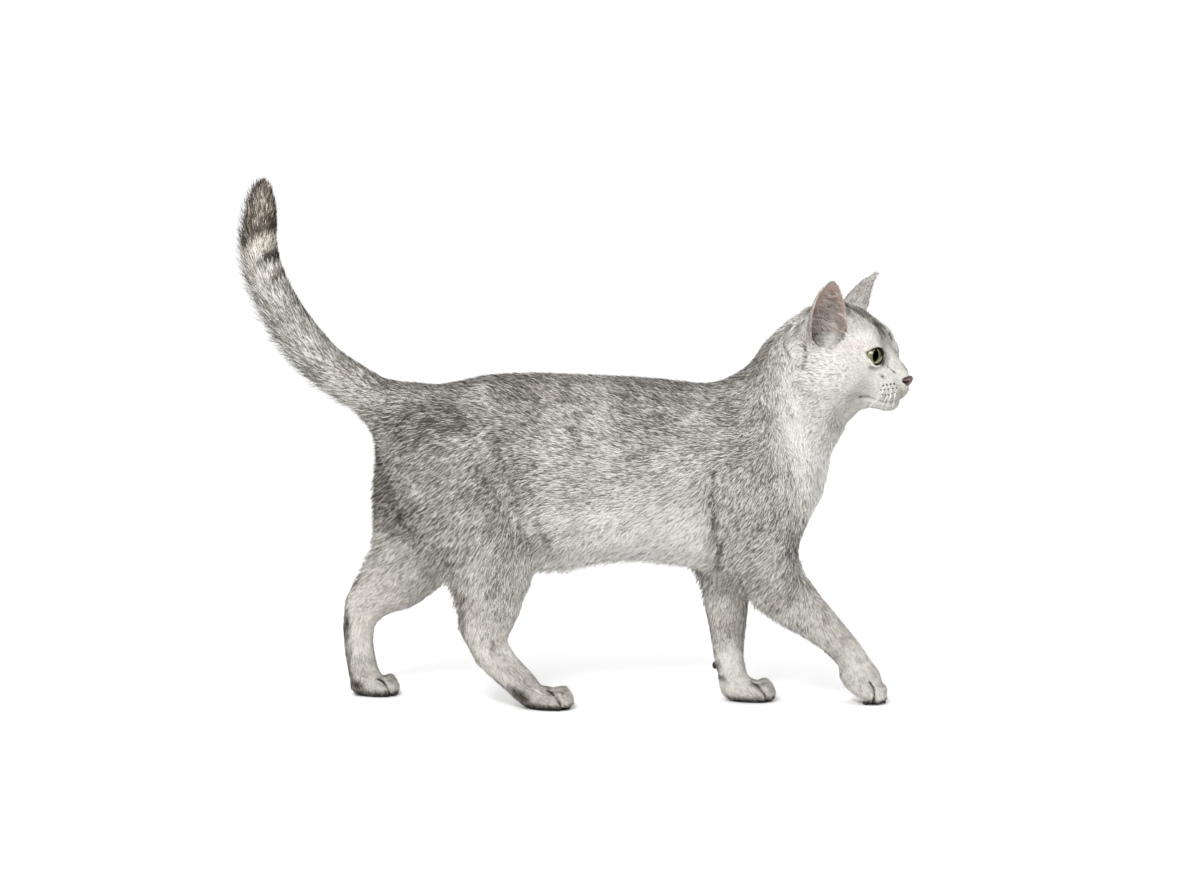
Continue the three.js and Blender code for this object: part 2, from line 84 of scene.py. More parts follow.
HEAD_TURN = turned_by(-24.5, 12)


def to_head(points):
    """Points in mm as the head sees them: x to the nose, y to the left ear, z to the crown."""
    return (points - HEAD_AT) @ HEAD_TURN


def from_head(points):
    """Points of the head's frame in mm, as the whole body has them."""
    return np.asarray(points, float) @ HEAD_TURN.T + HEAD_AT


def ease(x, low, high):
    """0 below low, 1 above high and smooth between."""
    t = np.clip((x - low) / (high - low), 0, 1)
    return t * t * (3 - 2 * t)


def bell(x, wide, power=2):
    """1 at nought, falling to nought past a width on either side."""
    return np.exp(-((x / wide) ** power))


def unit(v):
    return v / np.maximum(np.linalg.norm(v, axis=-1, keepdims=True), 1e-9)


# Middle lines of the legs and tail, from the body to the tip: x, y, z and the flesh's radius in mm.
# The legs' y is for the left side.
LINES = {
    "fore_right": [
        [141, 28, 226, 35], [152, 32, 186, 36], [154, 33, 150, 33], [156, 32, 124, 29],
        [169, 29, 100, 25], [190, 24, 80, 20], [211, 18, 60, 16], [228, 12, 43, 14], [240, 8, 20, 14],
        [250, 6, 8, 13],
    ],
    "fore_left": [
        [140, 28, 226, 36], [148, 32, 186, 37], [142, 33, 150, 33], [132, 32, 120, 28],
        [126, 27, 95, 22], [127, 21, 71, 18], [127, 15, 52, 15], [128, 10, 34, 13], [131, 7, 19, 12],
        [148, 6, 9, 13],
    ],
    "hind_right": [
        [-114, 26, 232, 34], [-108, 32, 200, 44], [-94, 34, 168, 44], [-79, 34, 137, 38],
        [-70, 33, 105, 31], [-72, 32, 82, 25], [-75, 31, 64, 19], [-71, 30, 49, 15], [-59, 30, 36, 14],
        [-46, 30, 20, 13], [-24, 30, 9, 13],
    ],
    "hind_left": [
        [-118, 26, 230, 36], [-122, 32, 198, 46], [-126, 34, 168, 46], [-130, 34, 137, 40],
        [-142, 33, 109, 34], [-161, 32, 92, 25], [-179, 31, 77, 17], [-183, 31, 61, 14],
        [-183, 31, 42, 13], [-181, 31, 24, 13], [-170, 31, 9, 13],
    ],
    "tail": [
        [-130, 0, 246, 20], [-152, 0, 250, 21], [-182, 0, 266, 19], [-206, 0, 282, 19],
        [-229, 0, 307, 18.6], [-246, 0, 335, 18], [-257, 0, 362, 17], [-261, 0, 386, 16],
        [-259, 0, 404, 15], [-258, 0, 428, 10],
    ],
}


def beside(points, name):
    """How far points are outside a line's flesh in mm, how far along it they are from 0 to 1, and
    the line's direction there."""
    line = np.array(LINES[name], float)
    if name.endswith("right"):
        line[:, 1] *= -1
    gap = np.full(len(points), 1e9)
    along = np.zeros(len(points))
    way = np.zeros((len(points), 3))
    steps = np.linalg.norm(np.diff(line[:, :3], axis=0), axis=1)
    ends = np.concatenate([[0], np.cumsum(steps)]) / steps.sum()
    ways = unit(np.diff(line[:, :3], axis=0))
    for i in range(len(steps)):
        d = line[i + 1, :3] - line[i, :3]
        t = np.clip(((points - line[i, :3]) @ d) / (d @ d), 0, 1)
        off = points - (line[i, :3] + t[:, None] * d)
        here = np.linalg.norm(off, axis=1) - (line[i, 3] + t * (line[i + 1, 3] - line[i, 3]))
        near = here < gap
        gap[near] = here[near]
        along[near] = (ends[i] + t * (ends[i + 1] - ends[i]))[near]
        # the direction eases from one stretch of the line to the next
        before = ways[max(i - 1, 0)]
        after = ways[min(i + 1, len(ways) - 1)]
        mixed = ways[i] + np.clip(0.5 - t, 0, 1)[:, None] * before + np.clip(t - 0.5, 0, 1)[:, None] * after
        way[near] = mixed[near]
    return gap, along, unit(way)


def shares(points):
    """How much each part of the body has of each point, adding up to 1, with the place along it and
    its direction, and the points as the head sees them."""
    found = {}
    local = to_head(points)
    spread = 11.0
    for name in LINES:
        gap, along, way = beside(points, name)
        found[name] = (np.exp(-np.maximum(gap, 0) / spread) * ease(along, 0.0, 0.22), along, way)
    head = ease(local[:, 0] + 0.35 * local[:, 2], -34, -6) * ease(points[:, 2], 205, 240)
    neck = ease(points[:, 0] + 0.8 * points[:, 2], 300, 370)
    trunk = ease(points[:, 2], 92, 135) * 0.55 * ease(points[:, 0], -215, -150)
    legs_and_tail = sum(found[name][0] for name in LINES)
    found["head"] = (head * 6, None, None)
    found["neck"] = (neck * 1.2 * (1 - head), None, None)
    found["trunk"] = (trunk * (1 - neck), None, None)
    total = legs_and_tail + found["head"][0] + found["neck"][0] + found["trunk"][0] + 1e-9
    return {name: (value[0] / total, value[1], value[2]) for name, value in found.items()}, local


# The ear's sheet, left side, in the head's frame: where it starts and ends, and the way it opens.
EAR_ROOT = np.array([-9, 27, 18.5])
EAR_TIP = np.array([-9, 51.5, 69.0])
EAR_OPEN = unit(np.array([0.75, 0.66, 0.0]))
EAR_AXIS = unit(EAR_TIP - EAR_ROOT)
EAR_ACROSS = np.cross(EAR_AXIS, EAR_OPEN)
EAR_LONG = np.linalg.norm(EAR_TIP - EAR_ROOT)
EAR_WIDE = 19.3


def both_sides(points):
    """Points with those of the right side mirrored to the left."""
    return np.stack([points[:, 0], np.abs(points[:, 1]), points[:, 2]], 1)


def side_of(points):
    """1 on the left and -1 on the right."""
    return np.where(points[:, 1] < 0, -1, 1)


def ear_share(local):
    """1 on an ear, 0 on the rest of the head, from places in the head's own frame."""
    q = both_sides(local) - EAR_ROOT
    high, open_way, aside = q @ EAR_AXIS, q @ EAR_OPEN, q @ EAR_ACROSS
    s = np.clip(high / EAR_LONG, 0, 1)
    round_gap = np.abs(np.hypot(open_way - 7 * s * s, aside) - EAR_WIDE * (1 - s) ** 0.6 * (1 + 0.2 * s))
    sheet = bell(np.maximum(round_gap - 3, 0), 3.5) * ease(-open_way, -14, -2)
    return np.maximum(ease(high, 14, 22), sheet * ease(high, -8, 2))


def in_ear(points, normals):
    """1 on the inner side of an ear, and how far towards its front edge that is, from -1 to 1."""
    turned = to_head(points)
    facing = normals @ HEAD_TURN
    facing[:, 1] *= side_of(turned)
    q = both_sides(turned) - EAR_ROOT
    high = q @ EAR_AXIS
    s = np.clip(high / EAR_LONG, 0.14, 1)
    hollow = EAR_AXIS * (s * EAR_LONG)[:, None] + EAR_OPEN * (5 + 6 * s * s)[:, None] - q
    reach = np.linalg.norm(hollow, axis=1)
    inside = ease((hollow * facing).sum(1) / np.maximum(reach, 1e-6), 0.12, 0.45)
    zone = ease(high, -8, -2) * ease(26 - reach, 0, 5) * ease(17 - q @ EAR_OPEN, 0, 5)
    return inside * zone, (q @ EAR_ACROSS) / EAR_WIDE


def coat_depth(points):
    """How deep the coat is at a place, mm."""
    share, local = shares(points)
    depth = np.zeros(len(points))
    for name in ("fore_right", "fore_left", "hind_right", "hind_left"):
        weight, along, _ = share[name]
        depth += weight * (5.5 - 3.7 * ease(along, 0.15, 0.85))
    depth += share["tail"][0] * (5.6 - 1.2 * ease(share["tail"][1], 0.0, 0.3))
    depth += share["trunk"][0] * (5.2 + 1.8 * ease(-points[:, 2], -160, -120))
    depth += share["neck"][0] * 4.4
    face = 3.6 - 2.2 * ease(local[:, 0], -10, 36) - 0.5 * ease(local[:, 0], 38, 48)
    depth += share["head"][0] * face
    ear = ear_share(local) * ease(share["head"][0], 0.2, 0.6)
    return depth * (1 - ear) + 0.55 * ear


def mesh_arrays(mesh):
    """A mesh's points in m, and the pairs of points its edges join."""
    points = np.empty(len(mesh.vertices) * 3, np.float32)
    mesh.vertices.foreach_get("co", points)
    edges = np.empty(len(mesh.edges) * 2, np.int32)
    mesh.edges.foreach_get("vertices", edges)
    return points.reshape(-1, 3).astype(float), edges.reshape(-1, 2)


def vertex_normals(mesh):
    normals = np.empty(len(mesh.vertices) * 3, np.float32)
    mesh.vertices.foreach_get("normal", normals)
    return normals.reshape(-1, 3).astype(float)


def smoothed(values, edges, times, amount=0.5):
    """Each vertex's values drawn towards its neighbours'."""
    a, b = edges.T
    count = np.maximum(np.bincount(np.concatenate([a, b]), minlength=len(values)), 1)[:, None]
    for _ in range(times):
        total = np.stack([np.bincount(a, x[b], len(x)) + np.bincount(b, x[a], len(x)) for x in values.T], 1)
        values = values + amount * (total / count - values)
    return values


def smoothed_where(places, edges, times, where):
    """Places smoothed in full where a share is 1 and left alone where it is 0."""
    return places + (smoothed(places, edges, times) - places) * where[:, None]


def set_places(mesh, points):
    """Moves a mesh's points to places in mm."""
    mesh.vertices.foreach_set("co", (points * MM).astype(np.float32).ravel())
    mesh.update()


def mesh_of(name, shape):
    """A mesh made from a bmesh, which is then freed."""
    mesh = bpy.data.meshes.new(name)
    shape.to_mesh(mesh)
    shape.free()
    return mesh


def placed(name, data):
    """A new object in the scene, at the origin."""
    made = bpy.data.objects.new(name, data)
    bpy.context.scene.collection.objects.link(made)
    return made


CUT_FILL = 0.5 * MM  # each part is swelled by this, so that the thin cuts between them close
shell = bmesh.new()
for name in FLESH + ["nose", "eye_right", "eye_left"]:
    part = bmesh.new()
    part.from_mesh(bpy.data.objects[name].data)
    bmesh.ops.remove_doubles(part, verts=part.verts, dist=1e-5)
    part.normal_update()
    swelled = [v.co + v.normal * CUT_FILL for v in part.verts]
    for v, co in zip(part.verts, swelled):
        v.co = co
    loose = mesh_of("loose", part)
    shell.from_mesh(loose)
    bpy.data.meshes.remove(loose)
skin = placed("skin", mesh_of("skin", shell))
joined = skin.modifiers.new("one_hide", "REMESH")
joined.mode = "VOXEL"
joined.voxel_size = SKIN_GRAIN
whole = bpy.data.meshes.new_from_object(skin.evaluated_get(bpy.context.evaluated_depsgraph_get()))
skin.modifiers.clear()
skin.data = whole
places, edges = mesh_arrays(whole)
places = places / MM
ears = ear_share(to_head(places)) * (places[:, 2] > 300) * (places[:, 0] > 150)
places = smoothed_where(places, edges, SMOOTHINGS, 1 - 0.8 * ears)
set_places(whole, places)
# the body's parts flow into each other: ridges where they meet are worn down, then hollows filled
body = ease(-places[:, 0] - 0.4 * places[:, 2], -302, -282)
body = body * ease(places[:, 2], 26, 42) * ease(-places[:, 2], -405, -375)
WRIST_AT = np.array([211, -14, 36])  # of the leg that reaches forward
wrist = bell(np.linalg.norm(places - WRIST_AT, axis=1), 19, 4)
worn = np.maximum(body, wrist)
places = smoothed_where(places, edges, 36, worn)
for _ in range(4):
    outward = unit(smoothed(vertex_normals(whole), edges, 10))
    hollow = ((smoothed(places, edges, 70) - places) * outward).sum(1)
    places = places + outward * (np.maximum(hollow, 0) * worn)[:, None]
    set_places(whole, places)
normals = unit(smoothed(vertex_normals(whole), edges, 8))
depth = smoothed(coat_depth(places)[:, None], edges, 6)[:, 0] + CUT_FILL / MM
places = places - normals * depth[:, None]
places = smoothed_where(places, edges, 3, 1 - ears)
set_places(whole, places)
cup, _ = in_ear(places, vertex_normals(whole))
cup = np.clip(smoothed(np.minimum(cup, places[:, 2] > 290)[:, None], edges, 4)[:, 0] * 1.6 - 0.5, 0, 1)
places = smoothed_where(places, edges, 26, cup)
set_places(whole, places)

# The lids' opening: angles round the line of sight from the outer corner over the top, and how far
# out the rim is.
EYE_R = 10.3
EYE_AT = np.array([28.5, 16.5, 10.5])
RIM_TURN = [-20, 0, 15, 34, 64, 97, 117, 135, 160, 188, 205, 222, 242, 258, 280, 310]
RIM_OUT = [40, 50, 59, 49, 44, 44, 45, 37, 31, 32, 37, 44, 45, 45, 40, 36]


def sight_axes(azimuth, elevation):
    """A line of sight, the way to its left and the way up, in the head's frame."""
    a, e = math.radians(azimuth), math.radians(elevation)
    out = np.array([math.cos(a) * math.cos(e), math.sin(a) * math.cos(e), math.sin(e)])
    up = unit(np.array([0, 0, 1.0]) - out * out[2])
    return out, np.cross(up, out), up


OPENING = sight_axes(38, 5)  # of the left eye's lids, whose outer corner is on its left


def rim_angle(turn):
    return np.interp(np.mod(turn + 20, 360) - 20, RIM_TURN + [340.1], RIM_OUT + [40])


def about_eye(local):
    """Distance from the nearer eye's middle in mm, degrees outside the lids' rim, the turn round
    the line of sight and the angle from it."""
    q = both_sides(local) - EYE_AT
    r = np.linalg.norm(q, axis=1)
    out, side, up = OPENING
    rho = np.degrees(np.arccos(np.clip(q @ out / np.maximum(r, 1e-6), -1, 1)))
    turn = np.degrees(np.arctan2(q @ up, q @ side))
    return r, rho - rim_angle(turn), turn, rho


def lid_depth(turn):
    """How thick the lid is at an angle round the eye: thinner beside the bridge of the nose."""
    return 1 - 0.55 * bell(np.mod(turn, 360) - 165, 45)


def path_gap(points, path, middle=None):
    """How far points are from a broken line in mm. With a middle, as seen from it, whatever the depth."""
    path = np.array(path, float)
    if middle is not None:
        away = np.linalg.norm(path - middle, axis=1).mean()
        points = middle + unit(points - middle) * away
        path = middle + unit(path - middle) * away
    best = np.full(len(points), 1e9)
    for a, b in zip(path[:-1], path[1:]):
        d = b - a
        t = np.clip(((points - a) @ d) / (d @ d), 0, 1)
        best = np.minimum(best, np.linalg.norm(points - a - t[:, None] * d, axis=1))
    return best


def side_gap(points, path):
    """How far points are in mm from a line of x and z seen from the side, on the body's outer side."""
    flat = np.stack([points[:, 0], 0 * points[:, 0], points[:, 2]], 1)
    return path_gap(flat, [[x, 0, z] for x, z in path]) + 2 * np.maximum(14 - np.abs(points[:, 1]), 0)


# Lines of the face in the head's frame, left side, mm, and the places they are seen from.
MUZZLE_MIDDLE = np.array([34, 0, -15.0])
SKULL_MIDDLE = np.array([14, 0, 2.0])
LIPS = [[27.5, 19.5, -26.0], [35, 16.5, -29.0], [45, 11.5, -29.4], [52, 6.5, -26], [56.5, 1.5, -18.5]]
PHILTRUM = [[58, 0, -9], [57.5, 0, -18.5]]
CHIN_AT = np.array([51, 0, -26.5])
NOSE_WING = [[58.5, 5.2, -7.8], [54.0, 6.8, -6.0]]
# Folds of loose hide, alike on both sides: lines of x and z in mm, how deep and wide each is, and how dark
# the painted shade in its crease is, in part dark hair.
FOLDS = [
    ([[177, 318], [173, 308], [172, 300], [177, 291]], 1.8, 3.6, 0.6),
    ([[187, 324], [186, 313], [188, 303], [189, 293], [186, 284]], 1.8, 3.6, 0.64),
    ([[114, 198], [112, 176], [113, 152], [118, 133], [121, 117]], 2.2, 5.5, 0.74),
    ([[93, 227], [106, 229], [120, 229]], 0.9, 1.8, 0.56),
    ([[107, 214], [115, 217], [126, 216]], 0.9, 1.8, 0.56),
    ([[-33, 158], [-29, 152], [-24, 141], [-21, 130]], 1.4, 3.0, 0.6),
    ([[-150, 214], [-149, 196], [-140, 172], [-124, 150], [-108, 132]], 1.2, 3.5, 0.5),
]
# Knuckles of the paws: x, y, lift, heading, dip and size.
PAWS = {
    "fore_right": (235.3, -5, 5.4, -6, 32, 1.05),
    "fore_left": (145.8, 5, -1.5, 2, 0, 1.03),
    "hind_right": (-23.7, -30, -1.7, -4, 0, 1.05),
    "hind_left": (-169.2, 31, -1.5, 3, 0, 0.97),
}
# The edge of an outer toe seen from the side, in a paw's own frame, mm.
TOE_EDGE = [[0.5, 0, 16.5], [6.5, 0, 14.0], [9.8, 0, 10], [10.8, 0, 6], [9.8, 0, 2]]


def to_paw(points, name):
    """Points in a paw's own frame, mm."""
    x, y, lift, heading, dip, size = PAWS[name]
    return (points - np.array([x, y, lift])) @ turned_by(heading, dip) / size


def cleft_gap(points):
    """How far points are from the nearest groove between two toes, mm, far where there is none."""
    gap = np.full(len(points), 99.0)
    for name in PAWS:
        q = to_paw(points, name)
        on = (q[:, 0] > -1) & (q[:, 0] < 26) & (np.abs(q[:, 1]) < 16) & (q[:, 2] > -3) & (q[:, 2] < 24)
        middle = np.abs(q[:, 1]) + 3 * (1 - ease(q[:, 0], 4, 10))
        flat = np.stack([q[:, 0], 0 * q[:, 0], q[:, 2]], 1)
        outer = path_gap(flat, TOE_EDGE) + 2 * np.maximum(4.5 - np.abs(q[:, 1]), 0)
        gap = np.where(on, np.minimum(gap, np.minimum(middle, outer)), gap)
    return gap


def toe_top(points):
    """1 on top of the toes, where they arch up in front of the foot."""
    top = np.zeros(len(points))
    for name in PAWS:
        q = to_paw(points, name)
        on = (np.abs(q[:, 1]) < 15) & (q[:, 2] > 5) & (q[:, 2] < 24)
        top = np.where(on, np.maximum(top, bell(q[:, 0] - 11.5, 4.5)), top)
    return top


def eye_corner(local):
    """1 on the bare wedge at the inner corner of an eye."""
    seen = both_sides(local)
    gap = path_gap(seen, [[38.2, 17.2, 8.6], [40.9, 13.4, 4.4]], EYE_AT)
    along = ease(seen[:, 0] - seen[:, 1], 21, 28.5)
    near = np.linalg.norm(seen - EYE_AT, axis=1) < EYE_R + 10
    return bell(gap, 3.2 - 2.0 * along, 4) * near


def from_eye_by(local, reach):
    """Points of the head moved to a distance from the nearer eye's middle, mm."""
    q = both_sides(local) - EYE_AT
    moved = EYE_AT + q * (reach / np.maximum(np.linalg.norm(q, axis=1), 1e-6))[:, None]
    moved[:, 1] *= side_of(local)
    return from_head(moved)


normals = unit(smoothed(vertex_normals(whole), edges, 3))
local = to_head(places)
# the hide's own seams are smoothed where a fold of it lies
seam = np.zeros(len(places))
for path, _, _, _ in FOLDS[2:]:
    seam = np.maximum(seam, bell(side_gap(places, path), 9, 4))
places = smoothed_where(places, edges, 40, seam)
sink = np.zeros(len(places))
for path, deep, wide, _ in FOLDS:
    sink += deep * bell(side_gap(places, path), wide)
face_side = both_sides(local)
on_muzzle = ease(local[:, 0], 24, 30)
sink += on_muzzle * 2.0 * bell(path_gap(face_side, LIPS, MUZZLE_MIDDLE), 1.7)
sink += on_muzzle * 0.8 * bell(path_gap(face_side, PHILTRUM, MUZZLE_MIDDLE), 1.2)
sink -= 2.8 * bell(np.linalg.norm(local - CHIN_AT, axis=1), 6.5)
sink += on_muzzle * 1.4 * bell(path_gap(face_side, NOSE_WING), 2.2)
sink += 2.6 * bell(cleft_gap(places), 1.7) - 2.2 * toe_top(places)
places = places - normals * sink[:, None]
local = to_head(places)
eye_gap, outside, eye_turn, rho = about_eye(local)
# under the lids' opening the hide keeps behind the ball, and round it close to the ball
OVER_BALL = 0.35  # least height of the hide over the ball, mm
most = np.where(outside < 0, EYE_R - 1.6, EYE_R + 0.9 + 0.19 * np.maximum(outside, 0) ** 1.15)
least = EYE_R + 0.4 + 0.5 * lid_depth(eye_turn) * ease(outside, 0, 5) - 4 * ease(outside, 40, 62)
least = np.where(outside < 0, 0, least)
near_eye = (rho < 110) & (eye_gap < 25) & (np.abs(local[:, 1]) > 2)
pull = np.maximum(eye_gap - np.maximum(most, least), 0) * np.where(outside < 0, 1, ease(-eye_gap, -24, -14))
reach = np.maximum(eye_gap - pull, least)
places = np.where(near_eye[:, None], from_eye_by(local, reach), places)
settled = near_eye * ease(outside, 4, 10) * ease(-outside, -60, -42)
places = smoothed_where(places, edges, 22, settled)
local = to_head(places)
eye_gap, outside, _, _ = about_eye(local)
poking = near_eye & (outside > 0) & (eye_gap < EYE_R + OVER_BALL) & (outside < 52)
places = np.where(poking[:, None], from_eye_by(local, EYE_R + OVER_BALL), places)
# the bare corner of the eye lies level with the coat round it
places = places + normals * eye_corner(to_head(places))[:, None]
set_places(whole, places)
# The body's hide needs fewer corners than the head and the paws.
SKIN_FACES = 184000  # once thinned
coarse = skin.vertex_groups.new(name="coarse")
keep = np.maximum(ease(places[:, 0] + 0.4 * places[:, 2], 268, 300), ease(-places[:, 2], -30, -18))
for value in (0.12, 1.0):
    at = np.nonzero((keep > 0.5) == (value < 0.5))[0]
    coarse.add([int(i) for i in at], value, "REPLACE")
thinned = skin.modifiers.new("thinned", "DECIMATE")
thinned.vertex_group = "coarse"
thinned.ratio = SKIN_FACES / (2 * len(whole.polygons))
whole = bpy.data.meshes.new_from_object(skin.evaluated_get(bpy.context.evaluated_depsgraph_get()))
skin.modifiers.clear()
skin.vertex_groups.clear()
skin.data = whole

# The lids: a rim on each eyeball that turns out over the edge and runs back under the face.
LID_TURNS = 96
# Across the rim: degrees out from its edge and height over the ball, mm. The last two turn back under.
LID_STEPS = [(0.0, 0.05), (0.7, 0.7), (2.5, 1.0), (5, 1.08), (9, 0.9), (14, -0.3), (7, -2.0), (1, -1.6)]
lids = bmesh.new()
lids.from_mesh(whole)
turns = np.linspace(-180, 180, LID_TURNS, endpoint=False)
out, side_way, up_way = OPENING
for flip in (-1, 1):
    rings = []
    for step, lift in LID_STEPS:
        rho = np.radians(rim_angle(turns) + step)
        t = np.radians(turns)
        round_sight = np.cos(t)[:, None] * side_way + np.sin(t)[:, None] * up_way
        ray = np.cos(rho)[:, None] * out + np.sin(rho)[:, None] * round_sight
        ring = EYE_AT + ray * (EYE_R + lift * lid_depth(turns) ** (lift > 0))[:, None]
        ring[:, 1] *= flip
        rings.append([lids.verts.new(co * MM) for co in from_head(ring)])
    for inner, outer in zip(rings, rings[1:] + rings[:1]):
        for i in range(LID_TURNS):
            j = (i + 1) % LID_TURNS
            corner = (inner[i], inner[j], outer[j], outer[i])
            lids.faces.new(corner if flip > 0 else corner[::-1])
lids.normal_update()
lids.to_mesh(whole)
lids.free()
whole.update()
places, edges = mesh_arrays(whole)
places = places / MM
whole.polygons.foreach_set("use_smooth", np.ones(len(whole.polygons), bool))
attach(skin, "root")
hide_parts(*FLESH)

# ---------------------------------------------------------------------------------------------
# The coat's colours: silver ticked with grey, paler below and darker along the back, with rings
# on the tail, faint bars on the legs and a broken mark on the brow. Skin and hairs share them.
# ---------------------------------------------------------------------------------------------
def linear(colour):
    """An sRGB hex colour, such as "D8D5CE", as linear red, green and blue."""
    parts = [int(colour[i : i + 2], 16) / 255 for i in (0, 2, 4)]
    return np.array([c / 12.92 if c <= 0.04045 else ((c + 0.055) / 1.055) ** 2.4 for c in parts])


def speckle(points, size, seed=0):
    """Smooth values from 0 to 1 over space, as if drawn by lot, in patches about size mm across."""
    at = np.asarray(points, float) / size
    cell = np.floor(at).astype(np.int64)
    f = at - cell
    f = f * f * (3 - 2 * f)
    total = np.zeros(len(at))
    for corner in np.ndindex(2, 2, 2):
        n = (cell + corner) * (73856093, 19349663, 83492791)
        n = n[:, 0] ^ n[:, 1] ^ n[:, 2] ^ seed * 2654435
        n = (n ^ (n >> 13)) * 1274126177 & 0x7FFFFFFF
        n = (n ^ (n >> 15)) & 0xFFFFFF
        near = np.where(corner, f, 1 - f)
        total += near[:, 0] * near[:, 1] * near[:, 2] * n / 0xFFFFFF
    return total


# Marks on trunk and thighs, alike on both sides: x, z, half length, half height, slope in degrees
# and darkness. The first six and the last two lie along folds, where they are in part painted shade.
SIDE_MARKS = [
    [113, 196, 5, 12, 5, 0.66], [112, 176, 6, 18, 5, 0.72], [114, 152, 5, 18, -12, 0.9],
    [119, 132, 3.5, 16, -10, 1.0], [106, 228, 16, 2.0, 3, 0.62], [117, 216, 11, 1.8, 5, 0.66],
    [21, 268, 12, 5, -10, 0.62], [69, 243, 9, 7, -30, 0.72], [-2, 224, 13, 5, -38, 0.62],
    [19, 215, 11, 5, -40, 0.62], [37, 202, 9, 6, -50, 0.6], [34, 192, 8, 5, -30, 0.55],
    [-122, 258, 16, 5, 38, 0.7], [-153, 237, 8, 12, 38, 0.62], [-60, 233, 13, 8, -40, 0.62],
    [-74, 252, 11, 6, -30, 0.6], [-47, 217, 9, 7, -40, 0.6], [-46, 190, 8, 6, -20, 0.56],
    [-73, 174, 12, 4.5, -22, 0.64], [-118, 167, 11, 4.5, 20, 0.66], [-102, 160, 9, 5, -20, 0.62],
    [-129, 182, 10, 4, 15, 0.58], [-98, 123, 8, 3, -5, 0.66], [-102, 133, 8, 3, 5, 0.6],
    [-31, 156, 3.5, 7, 28, 0.66], [-24, 143, 3, 9, 22, 0.72],
]
# Bars on the legs: x, z, half length, half height, slope, darkness.
LEG_BARS = {
    "fore_right": [
        [150, 103, 9, 3.2, -5, 0.55], [165, 84, 9, 3, -8, 0.6], [188, 66, 6, 2.6, -10, 0.56],
        [206, 73, 7, 6, 50, 0.46], [235, 38, 6, 4, -30, 0.42], [213, 34, 3, 16, 38, 0.6],
        [133, 128, 6, 14, 10, 0.55],
    ],
    "fore_left": [[121, 89, 17, 4.5, 8, 0.55], [117, 27, 5, 7, -20, 0.72], [121, 20, 7, 3, -25, 0.7]],
    "hind_right": [
        [-89, 108, 10, 4, -12, 0.6], [-91, 95, 11, 4, -10, 0.62], [-95, 82, 9, 4, -8, 0.6],
        [-95, 64, 7, 5, 0, 0.62], [-69, 52, 4.5, 10, -14, 0.46], [-84, 40, 12, 3, -42, 0.5],
        [-47, 13, 15, 6, -36, 0.74],
    ],
    "hind_left": [[-193, 58, 4, 22, 0, 0.72], [-192, 30, 4, 20, -6, 0.66], [-184, 9, 9, 5, -20, 0.8]],
}
# Dark rings of the tail and pale bands between: place and half width as shares of its length, and
# darkness.
TAIL_RINGS = [[0.757, 0.023, 0.98], [0.675, 0.017, 0.75], [0.56, 0.02, 0.62]]
TAIL_BANDS = [[0.803, 0.026, 0.32], [0.712, 0.018, 0.38]]
TAIL_SLANT = 0.05  # the rings sit lower on the tail's outer side by this share
# Marks of the face in the head's frame, left side: a broken line, its half width in mm, its darkness
# and how much of that the right side has.
FACE_LINES = [
    (
        [[33, 10.8, 24], [31, 10.5, 27], [19, 6, 36.4], [8, 5, 42], [-10, 7, 45], [-26, 9, 42]],
        3.6, 0.86, 0.75,
    ),
    ([[31, 10, 24], [22, 13, 32]], 1.6, 0.36, 0.9),
    ([[45.2, 12.0, 3.4], [48.0, 11.1, 2.2], [50.2, 10.6, 1.1]], 1.6, 0.62, 1.0),
    ([[51.3, 10.3, 0.5], [51.9, 10.1, 0.2]], 1.2, 0.85, 1.0),
    ([[39.5, 18.2, -3.0], [43.0, 16.8, -4.8]], 2.2, 0.62, 1.0),
    ([[31, 24, 1.5], [36, 21, -0.8], [40.5, 18, -3.4]], 2.6, 0.4, 1.0),
    ([[24, 29, 12], [12, 34, 8], [-2, 37, 2]], 2.6, 0.3, 1.0),
    ([[10, 36, -8], [-6, 38, -14], [-20, 36, -16]], 3.6, 0.34, 1.0),
    ([[27, 19.5, -25.5], [33, 17.5, -28.5]], 2.8, 0.72, 1.0),
]


def marks_at(x, z, marks):
    dark = np.zeros(len(x))
    for mx, mz, half_x, half_z, slope, amount in marks:
        c, s = math.cos(math.radians(slope)), math.sin(math.radians(slope))
        u = ((x - mx) * c + (z - mz) * s) / half_x
        v = (-(x - mx) * s + (z - mz) * c) / half_z
        dark = np.maximum(dark, amount * np.exp(-0.75 * (u * u + v * v)))
    return dark


